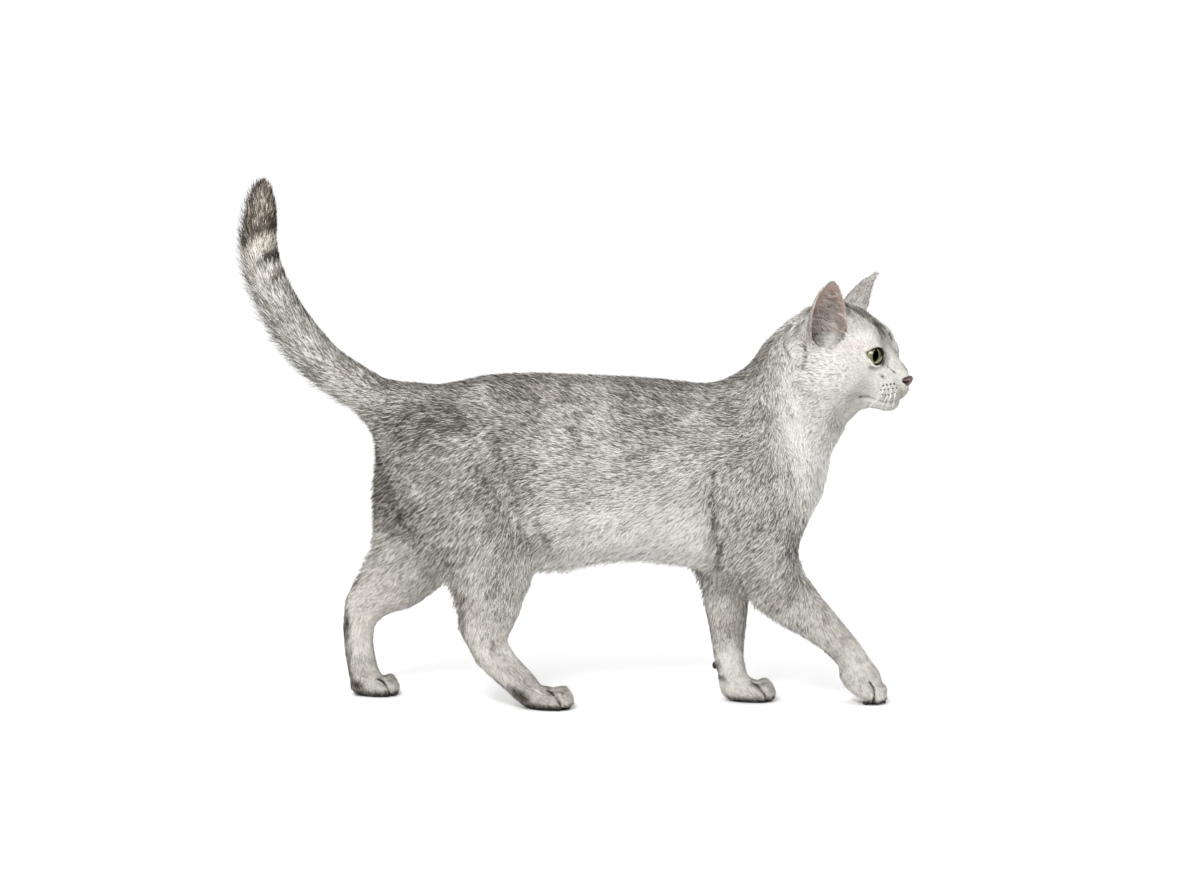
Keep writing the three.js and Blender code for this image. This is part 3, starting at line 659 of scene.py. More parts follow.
def darkness(points, normals):
    """How dark the coat is at a place, from 0, white, to 1, near black, with painted shade in its folds and
    hollows, under the jaw and on the left legs.
    """
    share, local = shares(points)
    x, _, z = points.T
    up = normals[:, 2]
    patch = 0.6 * speckle(points, 20, 1) + 0.4 * speckle(points, 8, 2) - 0.5
    # darker up the flank to the back, paler under the belly, darker over the thighs and shoulders
    trunk = 0.25 + 0.11 * ease(z, 150, 205) + 0.125 * ease(z, 208, 240)
    trunk += 0.03 * ease(up, 0.35, 0.9) * ease(z, 235, 262) - 0.03 * ease(-up, 0.2, 0.8)
    trunk -= 0.08 * ease(-z, -165, -122) + 0.14 * ease(-z, -134, -114)
    trunk += 0.10 * ease(-x, 50, 120) * ease(z, 130, 190) * ease(-z, -262, -235)
    trunk -= 0.04 * ease(x, 40, 90) * ease(-z, -240, -200)
    trunk += 0.07 * ease(x, 105, 135) + 0.05 * ease(z, 145, 180) * ease(-z, -235, -205)
    trunk += 0.05 * ease(-x, -20, 40) + 0.26 * patch
    trunk = np.maximum(trunk, marks_at(x, z, SIDE_MARKS) * (0.8 + 0.5 * patch))
    front = ease(x + 0.12 * z, 182, 222)
    neck = 0.40 + 0.03 * ease(up, 0.1, 0.75) - 0.31 * front - 0.06 * ease(-up, 0.2, 0.8) + 0.16 * patch
    # painted shade along the hide's folds, in part dark hair in the creases
    fold_shade = np.zeros(len(points))
    for path, _, wide, amount in FOLDS:
        fold_shade = np.maximum(fold_shade, amount * (0.85 + 0.5 * patch) * bell(side_gap(points, path), 0.8 * wide))
    # painted shadow on the throat under the jaw
    jaw_shadow_gap = side_gap(points, [[183, 271], [193, 258], [198, 248]])
    neck = np.maximum(neck + 0.06, 0.42 * bell(jaw_shadow_gap, 7))
    dark = share["trunk"][0] * trunk + share["neck"][0] * neck
    for name in PAWS:
        weight, along, _ = share[name]
        inner = ease(-normals[:, 1] * (1 if name.endswith("left") else -1), 0.1, 0.8)
        leg = 0.50 - 0.18 * ease(along, 0.36, 0.62) + 0.11 * ease(along, 0.78, 0.92) - 0.04 * inner
        leg += 0.25 * patch
        if name.startswith("hind"):
            leg += 0.05 * (1 - ease(along, 0.2, 0.6)) - 0.10 * (1 - ease(along, 0.1, 0.24))
            leg -= 0.08 * ease(normals[:, 0], 0.1, 0.8) * ease(along, 0.35, 0.6)
            leg += 0.16 * ease(-normals[:, 0], 0.3, 0.9) * ease(along, 0.45, 0.6)
            leg += 0.02 * ease(along, 0.12, 0.24) + 0.04 * ease(along, 0.25, 0.4)
            leg -= 0.03 * ease(along, 0.3, 0.45) + 0.06 * ease(along, 0.62, 0.8)
        else:
            leg += 0.03 + 0.06 * (1 - ease(along, 0.4, 0.5)) - 0.10 * (1 - ease(along, 0.3, 0.5))
            leg -= 0.21 * ease(along, 0.78, 0.86)
        # painted shade: the legs of the left side, away from the soft boxes, are darker, most over their
        # upper part
        if name.endswith("left"):
            leg += 0.22 * (1 - ease(along, 0.34, 0.46)) + 0.07 * name.startswith("fore")
        leg = np.maximum(leg, marks_at(x, z, LEG_BARS[name]) * (1.0 + 0.5 * patch))
        leg += 0.5 * ease(-z, -7, -2.5) * ease(weight, 0.4, 0.8)
        dark += weight * leg
    weight, along, _ = share["tail"]
    outer = ease(-(normals[:, 0] * 0.8 + normals[:, 2] * 0.6), -0.6, 0.9)
    place = along + TAIL_SLANT * (outer - 0.5)
    tail = 0.38 + 0.13 * (1 - outer) - 0.10 * outer * ease(-along, -0.4, -0.15) + 0.2 * patch
    tip = ease(place, 0.838, 0.852)
    tail = tail * (1 - tip) + tip * (0.66 + 0.2 * patch + 0.12 * bell(place - 0.865, 0.02) * (1 - outer))
    for at, half, amount in TAIL_RINGS:
        ring = bell(place - at, half) * (0.35 + 0.65 * (1 - outer))
        tail = np.maximum(tail, amount * ring)
    for at, half, amount in TAIL_BANDS:
        band = bell(place - at, half, 4)
        tail = tail * (1 - 0.85 * band) + amount * 0.85 * band
    dark += weight * tail
    face = 0.20 + 0.14 * ease(local[:, 2], 18, 40) + 0.15 * ease(-local[:, 0], 0, 30) + 0.1 * patch
    crown = ease(-np.abs(local[:, 1]), -11, -6) * ease(local[:, 2], 14, 26) * ease(local[:, 0], -40, -20)
    face = face + crown * (0.14 + 0.5 * np.clip(speckle(points, 6, 31) - 0.3, 0, 1))
    # painted shade: a little darker under the jaw
    face = face + 0.03 * ease(-local[:, 2], 18, 30) + 0.11 * ease(local[:, 0], 32, 48)
    mirrored = both_sides(local)
    for path, half, amount, right_side in FACE_LINES:
        broken = 0.75 + 1.3 * (speckle(points, 4.0, 9) - 0.45)
        line = bell(path_gap(mirrored, path, SKULL_MIDDLE), half)
        line *= np.where(local[:, 1] < 0, right_side, 1)
        face = np.maximum(face, amount * line * np.clip(broken, 0.2, 1.1))
    _, outside, _, _ = about_eye(local)
    face = np.maximum(face, 0.30 * bell(np.maximum(outside, 0), 5.0) * (local[:, 0] > 15))
    head = share["head"][0]
    dark += head * face
    chest = ease(x + 0.25 * z, 205, 235) * ease(z, 125, 165) * ease(-z, -255, -225) * (1 - head)
    dark = dark * (1 - 0.6 * chest)
    dark = np.maximum(dark, fold_shade)
    ear = ear_share(local) * ease(head, 0.2, 0.6)
    inner, edge = in_ear(points, normals)
    # painted shade deep in each ear's cup
    deep = inner * ease(-((mirrored - EAR_ROOT) @ EAR_AXIS), -30, -14) * ease(edge, -1.0, -0.2)
    dark = dark * (1 - ear) + ear * (0.47 + 0.2 * patch - 0.14 * ease(local[:, 2], 58, 68))
    dark = np.maximum(dark, 0.58 * deep)
    # painted shade in the grooves between the toes
    dark = np.maximum(dark, 0.92 * bell(cleft_gap(points), 1.25))
    on_muzzle = ease(local[:, 0], 24, 30) * head
    lips = path_gap(mirrored, LIPS, MUZZLE_MIDDLE)
    dark = np.maximum(dark, 0.85 * bell(lips, 1.3) * on_muzzle)
    dark = np.maximum(dark, 0.95 * bell(path_gap(mirrored, PHILTRUM, MUZZLE_MIDDLE), 0.8) * on_muzzle)
    eye_r, outside, turn, rho = about_eye(local)
    turn = np.mod(turn, 360)
    corner = 5.5 * bell(turn - 133, 20)
    lid = (outside < 6 + corner) & (rho < 80) & (eye_r < EYE_R + 3.5)
    below = ease(turn, 226, 246) * ease(-turn, -352, -338)
    upper = 1 - 0.75 * ease(outside - corner, 1.4, 3.8)
    lower = 0.08 + 0.85 * ease(-outside, -0.9, -0.3)
    dark = np.where(lid, (1 - below) * upper + below * lower, dark)
    dark = np.maximum(dark, 0.97 * eye_corner(local))
    return np.clip(dark, 0, 1)


def pink(points, normals):
    """Where bare or thinly haired hide shows pink: in the ears and at the temples."""
    inner, _ = in_ear(points, normals)
    local = both_sides(to_head(points))
    thin = 0.0
    for spot in ([22, 29, 17], [13, 33, 15], [2, 35, 14]):
        thin = np.maximum(thin, 0.4 * bell(np.linalg.norm(local - np.array(spot), axis=1), 5.5))
    lips = 0.2 * bell(path_gap(local, LIPS, MUZZLE_MIDDLE), 2.5) * ease(local[:, 0], 24, 30)
    corner = 0.1 * eye_corner(local)
    # deep in the ear's cup the pink gives way to the painted shade there
    sunk = ease(-((local - EAR_ROOT) @ EAR_AXIS), -30, -14)
    return np.maximum(np.maximum(0.85 * inner * (1 - 0.25 * sunk), thin), np.maximum(lips, corner))


def warmth(points):
    """Where the coat is browner: the tail's tip, the feet, the bars and the throat."""
    share, _ = shares(points)
    warm = 0.06 + 0.75 * share["tail"][0] * ease(share["tail"][1], 0.75, 0.9)
    for name in PAWS:
        warm = warm + share[name][0] * 0.12 * ease(share[name][1], 0.35, 0.9)
    return np.clip(warm + 0.25 * (speckle(points, 30, 21) - 0.4), 0, 1)


COAT_TONES = [(0, "E9E8E4"), (0.33, "CBC9C3"), (0.66, "8C8781"), (1, "38332D")]  # by darkness
FLUSH = linear("BC9E95")  # of bare hide
BROWNER = np.array([1.06, 0.97, 0.86])


def in_tones(x, tones):
    """The colour at x between tones given as places and colours."""
    table = np.stack([linear(c) for _, c in tones])
    return np.stack([np.interp(x, [t for t, _ in tones], table[:, i]) for i in range(3)], 1)


def coat_colour(dark, flush, warm):
    """The coat's mean colour at a darkness, pinker by flush and browner by warm."""
    colour = in_tones(dark, COAT_TONES) * (1 + (BROWNER - 1) * warm[:, None])
    return colour * (1 - flush[:, None]) + FLUSH * flush[:, None]


def node(tree, kind, links=(), **settings):
    """Adds a shader node with its settings, and joins outputs (socket, output) to its inputs."""
    made = tree.nodes.new(kind)
    for key, value in settings.items():
        if key.startswith("in_"):
            made.inputs[key[3:].replace("_", " ")].default_value = value
        else:
            setattr(made, key, value)
    for socket, output in links:
        tree.links.new(output, made.inputs[socket])
    return made


def painted_finish(name, attribute, roughness, specular, coat=0.0):
    """A finish that takes its colour from a piece's own colour attribute."""
    material = bpy.data.materials.new(name)
    material.use_nodes = True
    tree = material.node_tree
    tree.nodes.clear()
    colour = node(tree, "ShaderNodeAttribute", attribute_name=attribute)
    shader = node(
        tree,
        "ShaderNodeBsdfPrincipled",
        [("Base Color", colour.outputs["Color"])],
        in_Roughness=roughness,
        in_Specular_IOR_Level=specular,
        in_Coat_Weight=coat,
        in_Coat_Roughness=0.03,
        in_Coat_IOR=1.34,
    )
    node(tree, "ShaderNodeOutputMaterial", [("Surface", shader.outputs["BSDF"])])
    return material


def plain_finish(name, colour, roughness):
    """A finish of one colour all over."""
    material = bpy.data.materials.new(name)
    material.use_nodes = True
    shader = material.node_tree.nodes["Principled BSDF"]
    shader.inputs["Base Color"].default_value = (*linear(colour), 1)
    shader.inputs["Roughness"].default_value = roughness
    return material


def paint(mesh, name, colours):
    """Gives each corner of a mesh its colour."""
    layer = mesh.color_attributes.new(name, "FLOAT_COLOR", "POINT")
    full = np.ones((len(colours), 4), np.float32)
    full[:, :3] = colours
    layer.data.foreach_set("color", full.ravel())


# cat hide under fur: soft and dull
hide = painted_finish("furred_hide", "coat_colour", 0.75, 0.2)
skin_normals = unit(smoothed(vertex_normals(whole), edges, 2))
skin_dark = darkness(places, skin_normals)
paint(whole, "coat_colour", coat_colour(skin_dark, pink(places, skin_normals), warmth(places)) * 0.85)
whole.materials.append(hide)

# ---------------------------------------------------------------------------------------------
# The coat: short flat hair in thin tufts that overlap like shingles, rooted on the hide.
# Each tuft is a narrow tapering blade, bent down along the body, longest on belly and tail.
# ---------------------------------------------------------------------------------------------
# How the hair lies on the flank: x and z of a place in mm, and how far it points up from straight
# back, in degrees.
FLANK_LIE = [
    [-143, 218, -38], [-111, 235, -12], [-62, 243, 24], [20, 245, 30], [69, 243, 18], [118, 232, 12],
    [20, 194, 14], [-13, 172, -5], [69, 177, -12], [101, 194, -38], [101, 155, -60], [20, 140, -62],
    [-86, 194, -14], [-103, 160, -32], [-62, 168, -4], [-127, 177, -42], [130, 200, 6], [140, 170, -30],
]
FLANK_REACH = 26.0


def lie(points, normals):
    """Which way the hair points, along the skin."""
    share, local = shares(points)
    x, _, z = points.T
    weights = np.zeros(len(points))
    combed = np.zeros((len(points), 2))
    for px, pz, slope in FLANK_LIE:
        w = np.exp(-((x - px) ** 2 + (z - pz) ** 2) / (2 * FLANK_REACH**2)) + 1e-9
        combed += w[:, None] * np.array([-math.cos(math.radians(slope)), math.sin(math.radians(slope))])
        weights += w
    combed /= weights[:, None]
    side = ease(np.abs(normals[:, 1]), 0.3, 0.8)
    trunk = np.stack([combed[:, 0] * side - (1 - side), 0 * x, combed[:, 1] * side - 0.1 * (1 - side)], 1)
    front = ease(x + 0.25 * z, 195, 235)
    neck = unit(np.stack([-0.9 + 1.2 * front, 0 * x, -0.75 - 0.4 * front], 1))
    nose = np.array([66.0, 0, -6])
    face = unit(local - nose)
    face[:, 0] -= 0.35
    mirrored = both_sides(local)
    _, outside, _, _ = about_eye(local)
    from_eye = unit(mirrored - EYE_AT)
    from_eye[:, 1] *= side_of(local)
    near = (bell(np.maximum(outside, 0), 14) * (local[:, 0] > 8))[:, None]
    face = unit(face) + 1.6 * near * from_eye
    ear = ear_share(local)[:, None]
    upward = unit(np.stack([0 * x - 0.25, 0.2 * np.sign(local[:, 1]), 0 * x + 1], 1))
    face = (unit(face) * (1 - ear) + upward * ear) @ HEAD_TURN.T
    lies = {"trunk": trunk, "neck": neck, "head": face}
    way = sum(share[name][0][:, None] * lies[name] for name in lies)
    for name in LINES:
        weight, at, along = share[name]
        back = np.zeros((len(points), 3))
        if name == "tail":
            back = (0.30 + 0.6 * ease(at, 0.88, 0.97))[:, None] * normals
        elif name == "fore_right":
            back[:, 0] = -0.15 - 1.1 * side * bell(at - 0.45, 0.2)
        elif name.startswith("fore"):
            back[:, 0] = -0.2
        else:
            back[:, 0] = -0.15 - 1.1 * (1 - ease(at, 0.12, 0.62))
        way = way + weight[:, None] * (along + back)
    wander = np.stack([speckle(points, 14, s) - 0.5 for s in (11, 12, 13)], 1)
    way = unit(way) + 0.2 * wander
    way -= normals * (way * normals).sum(1, keepdims=True)
    return unit(way)


def hair_size(points, normals):
    """The hair's length and width in mm, how crowded it is, how far it fringes and how bold its
    ticking is, from 0 to 1."""
    share, local = shares(points)
    trunk, neck, head, tail = (share[name][0] for name in ("trunk", "neck", "head", "tail"))
    under = ease(-points[:, 2], -150, -118)
    outer = ease(-(normals[:, 0] * 0.8 + normals[:, 2] * 0.6), -0.1, 0.8)
    length = trunk * (8.8 + 6.0 * under) + neck * 7.6
    width = trunk * (0.52 + 0.1 * under) + neck * 0.52
    fringe = trunk * under + tail * outer
    bold = 0.88 - 0.14 * head - 0.16 * neck - 0.2 * np.minimum(trunk * under, 1)
    for name in PAWS:
        weight, along, _ = share[name]
        upper = 1 - ease(along, 0.5, 0.72)
        rear = ease(-normals[:, 0], 0.2, 0.9) * upper * ease(along, 0.1, 0.3)
        length += weight * (9.2 - 4.6 * ease(along, 0.3, 0.9) + 5.0 * rear)
        width += weight * (0.56 - 0.12 * ease(along, 0.3, 0.85))
        fringe += weight * ease(-normals[:, 0], 0.2, 0.8) * upper
        bold -= 0.3 * weight * ease(along, 0.3, 0.6)
    face = ease(local[:, 0], -12, 40)
    length += tail * (9.0 + 5.0 * outer)
    length += head * (5.8 - 3.8 * face)
    width += tail * 0.62
    width += head * (0.52 - 0.16 * face)
    _, outside, _, _ = about_eye(local)
    length *= 1 - 0.45 * bell(np.maximum(outside, 0), 9) * (local[:, 0] > 12)
    ear = ear_share(local) * ease(head, 0.2, 0.6)
    length = length * (1 - ear) + 2.4 * ear
    width = width * (1 - ear) + 0.4 * ear
    inner, _ = in_ear(points, normals)
    length = length * (1 - inner) + 2.0 * inner
    crowd = 1 / np.maximum(length * width, 0.6) ** 0.62
    crowd = crowd * (1 - 0.75 * inner)
    return length, width, crowd, fringe, bold


COAT_TUFTS = 455000
PIECE_TUFTS = 66000  # tufts in each piece of coat, under 200,000 triangles to a piece
UNWRAP = "OFBake"
PATCH = 0.003  # side of a tuft's patch on the unwrap

triangulated = bmesh.new()
triangulated.from_mesh(whole)
bmesh.ops.triangulate(triangulated, faces=triangulated.faces)
triangulated.to_mesh(whole)
triangulated.free()
whole.uv_layers.new(name=UNWRAP)
bpy.context.view_layer.objects.active = skin
skin.select_set(True)
bpy.ops.object.mode_set(mode="EDIT")
bpy.ops.mesh.select_all(action="SELECT")
bpy.ops.uv.smart_project(angle_limit=math.radians(66), island_margin=0.002)
bpy.ops.object.mode_set(mode="OBJECT")
skin.select_set(False)
unwrapped = np.empty(len(whole.loops) * 2, np.float32)
whole.uv_layers[UNWRAP].data.foreach_get("uv", unwrapped)
unwrapped = unwrapped.reshape(-1, 3, 2)
corners = np.empty(len(whole.loops), np.int32)
whole.loops.foreach_get("vertex_index", corners)
corners = corners.reshape(-1, 3)
a, b, c = (places[corners[:, i]] for i in range(3))
cross = np.cross(b - a, c - a)
area = np.linalg.norm(cross, axis=1) / 2
face_normal = unit(cross)
centre = (a + b + c) / 3
_, _, crowd, _, _ = hair_size(centre, face_normal)
# no hair grows on the soles, the lids' rims, the eyes' corners, the lips and the nose
local = to_head(centre)
eye_r, outside, eye_turn, rho = about_eye(local)
bare = (centre[:, 2] < 2.5) & (face_normal[:, 2] < -0.6)
bare |= (outside < 3.4 + 4 * bell(eye_turn - 133, 20)) & (rho < 85) & (eye_r < EYE_R + 4)
bare |= eye_corner(local) > 0.5
bare |= (path_gap(both_sides(local), LIPS, MUZZLE_MIDDLE) < 0.8) & (local[:, 0] > 28)
bare |= np.linalg.norm((local - np.array([55.6, 0, -6.0])) / np.array([7.0, 8.0, 7.2]), axis=1) < 1
chance = area * crowd * ~bare
picked = rng.choice(len(area), COAT_TUFTS, p=chance / chance.sum())
r1, r2 = np.sqrt(rng.random(COAT_TUFTS)), rng.random(COAT_TUFTS)
parts = np.stack([1 - r1, r1 * (1 - r2), r1 * r2], 1)
roots = (places[corners[picked]] * parts[:, :, None]).sum(1)
root_normals = unit((skin_normals[corners[picked]] * parts[:, :, None]).sum(1))
length, width, _, fringe, bold = hair_size(roots, root_normals)
reach = coat_depth(roots)
eye_r, outside, _, _ = about_eye(to_head(roots))
reach *= 1 - 0.55 * bell(np.maximum(outside, 0), 12) * (eye_r < EYE_R + 5)
way = lie(roots, root_normals)
# hairs whose tips would reach over an eye or its bare corner are kept short
tips = to_head(roots + way * length[:, None])
tip_r, tip_outside, _, tip_rho = about_eye(tips)
over = (tip_outside < 3) & (tip_rho < 80) & (tip_r < EYE_R + 5) | (eye_corner(tips) > 0.4)
length = np.where(over, 0.35 * length, length)
# a hair shows its colour over its outer half, so the marks are read there
shown = roots + way * (0.6 * length)[:, None]
# and hairs cling together in locks, a little lighter or darker than their neighbours
LOCK = 3.2  # mm across
clinging = 0.17 - 0.09 * ease(to_head(roots)[:, 0], -45, -15) * (roots[:, 2] > 200)
locks = clinging * (speckle(shown, LOCK, 41) - 0.5)
hairs = {
    "root": roots,
    "normal": root_normals,
    "patch": (unwrapped[picked] * parts[:, :, None]).sum(1),
    "way": way,
    "length": length,
    "width": width,
    "reach": reach,
    "dark": np.clip(darkness(shown, root_normals) + locks, 0, 1),
    "fringe": fringe,
    "bold": bold,
    "flush": pink(roots, root_normals) * 0.75,
    "warm": warmth(shown),
}

# Long pale hairs from the front edge of each ear, fanned back and up across its cup.
EAR_HAIRS = 1150
local = to_head(centre)
inner, edge = in_ear(centre, face_normal)
high = (both_sides(local) - EAR_ROOT) @ EAR_AXIS
front_edge = (edge < np.where(high < 10, 0.3, -0.25)) * (edge > -1.3) * (inner > 0.2) * (local[:, 2] < 56)
chance = area * front_edge
tufted = rng.choice(len(area), EAR_HAIRS, p=chance / chance.sum())
flip = side_of(local[tufted])[:, None] ** np.array([0, 1, 0])
fan = 0.75 * EAR_AXIS + 0.75 * EAR_ACROSS + 0.1 * EAR_OPEN + rng.normal(0, 0.28, (EAR_HAIRS, 3))
ear_hairs = {
    "root": centre[tufted],
    "normal": face_normal[tufted],
    "patch": unwrapped[tufted].mean(1),
    "way": unit(fan * flip) @ HEAD_TURN.T,
    "length": rng.uniform(7, 15, EAR_HAIRS),
    "width": np.full(EAR_HAIRS, 0.3),
    "reach": rng.uniform(1.0, 5.0, EAR_HAIRS),
    "dark": rng.uniform(0, 0.25, EAR_HAIRS),
    "fringe": np.zeros(EAR_HAIRS),
    "bold": np.full(EAR_HAIRS, 0.5),
    "flush": np.zeros(EAR_HAIRS),
    "warm": np.full(EAR_HAIRS, 0.1),
}
hairs = {key: np.concatenate([hairs[key], ear_hairs[key]]) for key in hairs}
order = np.argsort(hairs["root"][:, 0], kind="stable")

FRINGE = 8.5  # how far the longest hairs stand out under the belly and behind the thighs and tail, mm
LEAST_HIGH = 0.3  # how far hairs keep above the floor, mm
# A blade's corners on its patch, from its foot to its tip: the quad's four and the triangle's three.
BLADE_LOOPS = np.array([1, 0, 2, 3, 3, 2, 4])
BLADE_PATCH = np.array([[1, 0], [0, 0], [0, 0.5], [1, 0.5], [1, 0.5], [0, 0.5], [0.5, 1]]) - 0.5


def blades(name, index, material):
    """One piece of coat from the hairs of this index: a quad and a triangle each."""
    n = len(index)
    hair = {key: values[index] for key, values in hairs.items()}
    root, normal, along, bold = hair["root"], hair["normal"], hair["way"], hair["bold"]
    size = hair["length"] * rng.uniform(0.72, 1.2, n)
    broad = hair["width"] * rng.uniform(0.7, 1.25, n)
    high = np.minimum(hair["reach"] * rng.uniform(0.6, 1.08, n), size * 0.6)
    high += hair["fringe"] * rng.random(n) ** 2.4 * FRINGE
    turn = rng.normal(0, 0.09, n)
    along = unit(along + np.cross(normal, along) * turn[:, None])
    across = unit(np.cross(normal, along))
    roll = rng.normal(0, 0.34, n)[:, None]
    flat = across * np.cos(roll) + normal * np.sin(roll)
    run = np.sqrt(np.maximum(size**2 - high**2, 1.0))
    sway = across * (rng.normal(0, 0.06, n) * size)[:, None]

    def at(s, rise):
        """A place on the blade's middle line, a share of the way along and of its height."""
        return root + along * (run * s)[:, None] + normal * (high * rise - 0.3)[:, None] + sway * s * s

    foot, mid, tip = at(0.0, 0.0), at(0.5, 0.72), at(1.0, 1.0)
    half_foot, half_mid = flat * (0.35 * broad)[:, None], flat * (0.5 * broad)[:, None]
    points = np.stack([foot - half_foot, foot + half_foot, mid - half_mid, mid + half_mid, tip], 1)
    points[:, :, 2] = np.maximum(points[:, :, 2], LEAST_HIGH)
    # the shading rounds each blade across and tips it along the hair
    facing = np.stack([unit(normal - 0.4 * flat), unit(normal + 0.4 * flat)] * 2 + [normal], 1)
    facing += along[:, None, :] * 0.12
    shade = hair["dark"]
    ticked = rng.random(n) < np.clip(shade * 1.15 - 0.02, 0.16, 1)
    light = np.clip(shade - rng.uniform(0.0, 0.22, n) * bold, 0, 1)
    deep = np.clip(shade + rng.uniform(0.12, 0.55, n) * bold, 0, 1)
    tone = np.where(ticked, deep, light)
    tinge = (hair["flush"], hair["warm"])
    low = coat_colour(np.clip(shade + 0.12, 0, 1), *tinge) * (1 - 0.18 * bold)[:, None]
    middle = coat_colour(tone, *tinge) * 0.8 + low * 0.2
    end = coat_colour(np.clip(tone + np.where(ticked, 0.15, -0.05), 0, 1), *tinge)
    mesh = bpy.data.meshes.new(name)
    mesh.vertices.add(5 * n)
    mesh.vertices.foreach_set("co", (points * MM).astype(np.float32).ravel())
    mesh.loops.add(7 * n)
    loops = (np.arange(n) * 5)[:, None] + BLADE_LOOPS
    mesh.loops.foreach_set("vertex_index", loops.ravel().astype(np.int32))
    mesh.polygons.add(2 * n)
    starts = (np.arange(n) * 7)[:, None] + np.array([0, 4])
    mesh.polygons.foreach_set("loop_start", starts.ravel().astype(np.int32))
    mesh.polygons.foreach_set("use_smooth", np.ones(2 * n, bool))
    mesh.update(calc_edges=True)
    paint(mesh, "coat_colour", np.stack([low, low, middle, middle, end], 1).reshape(-1, 3))
    spread = hair["patch"][:, None, :] + BLADE_PATCH * PATCH
    layer = mesh.uv_layers.new(name=UNWRAP)
    layer.data.foreach_set("uv", spread.astype(np.float32).ravel())
    mesh.normals_split_custom_set_from_vertices(unit(facing).reshape(-1, 3).astype(np.float32))
    mesh.materials.append(material)
    piece = placed(name, mesh)
    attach(piece, "root")


# cat hair: fine, smooth and softly shining
fur = painted_finish("silver_cat_hair", "coat_colour", 0.6, 0.22)
for i, start in enumerate(range(0, len(order), PIECE_TUFTS)):
    blades(f"coat_{i + 1}", order[start : start + PIECE_TUFTS], fur)

# ---------------------------------------------------------------------------------------------
# The eyes: glass balls with a green iris and an upright slit, set in the lids.
# The iris is painted on the ball by its distance from the line of sight; the front is domed.
# ---------------------------------------------------------------------------------------------
GAZES = {"eye_right": (-1, 54, 11), "eye_left": (1, 8, 9)}  # side, degrees outwards and degrees up
PUPIL = (2.4, 5.8)  # half width and half height, mm
IRIS_R = 7.1
RING_TONES = [
    (0.0, "2E3226"), (0.34, "3C402F"), (0.46, "6C6E54"), (0.56, "55583F"), (0.66, "727358"),
    (0.80, "868567"), (0.88, "7A795D"), (0.93, "2C2E24"), (0.98, "0C0B09"), (1.3, "080706"),
    (3.0, "140E0C"),
]


def object_of(mesh, slot, *nodes):
    """A finished piece named as its mesh, in place of the solids it stands for."""
    piece = placed(mesh.name, mesh)
    mesh.polygons.foreach_set("use_smooth", np.ones(len(mesh.polygons), bool))
    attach(piece, "root")
    if nodes:
        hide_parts(*nodes)


# polished glass eye: a clear wet gloss over paint
glass_eye = painted_finish("polished_eye_glass", "eye_colour", 0.25, 0.0, coat=1.0)
for name, (flip, azimuth, elevation) in GAZES.items():
    ball = bmesh.new()
    bmesh.ops.create_uvsphere(ball, u_segments=128, v_segments=96, radius=1)
    mesh = mesh_of(name + "_glass", ball)
    ray, _ = mesh_arrays(mesh)
    sight, aside, up = sight_axes(flip * azimuth, elevation)
    turned = ray[:, 2:3] * sight + ray[:, 0:1] * aside + ray[:, 1:2] * up
    rho = np.arccos(np.clip(ray[:, 2], -1, 1))
    bulge = 0.6 * bell(rho, 0.6) - 0.15
    middle = EYE_AT * np.array([1, flip, 1])
    set_places(mesh, from_head(middle + turned * (EYE_R + bulge)[:, None]))
    flat = ray[:, :2] * EYE_R
    far = np.hypot(*flat.T)
    far = np.where(ray[:, 2] < 0, 30, far)
    fibre = speckle(np.stack([np.arctan2(*flat.T) * 9, far * 0.35, 0 * far], 1), 1.0, 5) - 0.5
    colour = in_tones(far / IRIS_R, RING_TONES) * (1 + 0.35 * fibre * (far < IRIS_R * 0.9))[:, None]
    slit = np.abs(flat[:, 0]) / PUPIL[0] + (np.abs(flat[:, 1]) / PUPIL[1]) ** 2.2
    inside_slit = ease(slit, 1.1, 0.94) * (ray[:, 2] > 0)
    colour = colour * (1 - inside_slit[:, None]) + linear("020202") * inside_slit[:, None]
    # the upper lid shades the top of the ball, most towards the nose
    _, outside, lid_turn, _ = about_eye(middle + turned * EYE_R)
    under_lid = ease(lid_turn, 15, 50) * ease(-lid_turn, -178, -150)
    shade_wide = 8 + 32 * ease(lid_turn, 70, 118)
    colour = colour * (1 - 0.95 * under_lid * (1 - ease(-outside, 0.4 * shade_wide, shade_wide)))[:, None]
    paint(mesh, "eye_colour", colour)
    mesh.materials.append(glass_eye)
    object_of(mesh, "eye", name)

# ---------------------------------------------------------------------------------------------
# The nose: bare brownish-pink leather with two comma-shaped nostrils and a groove down the middle.
# A ball drawn to its shape: wide above, narrow below and flat in front.
# ---------------------------------------------------------------------------------------------
NOSE_AT = np.array([56.0, 0, -5.2])
NOSE_HALF = np.array([5.7, 6.8, 4.9])
NOSE_TONES = [(0, "3A2E2B"), (0.4, "5A4743"), (0.7, "6A5550"), (1, "7E6862")]  # from its rim to its front
# A nostril on the ball, left side: from the round hole in front, out and back along its tail.
NOSTRIL = [
    [0.76, 0.62, 0.02], [0.50, 0.84, -0.18], [0.25, 0.92, -0.28], [0.0, 0.99, -0.08], [-0.3, 0.95, 0.12],
]
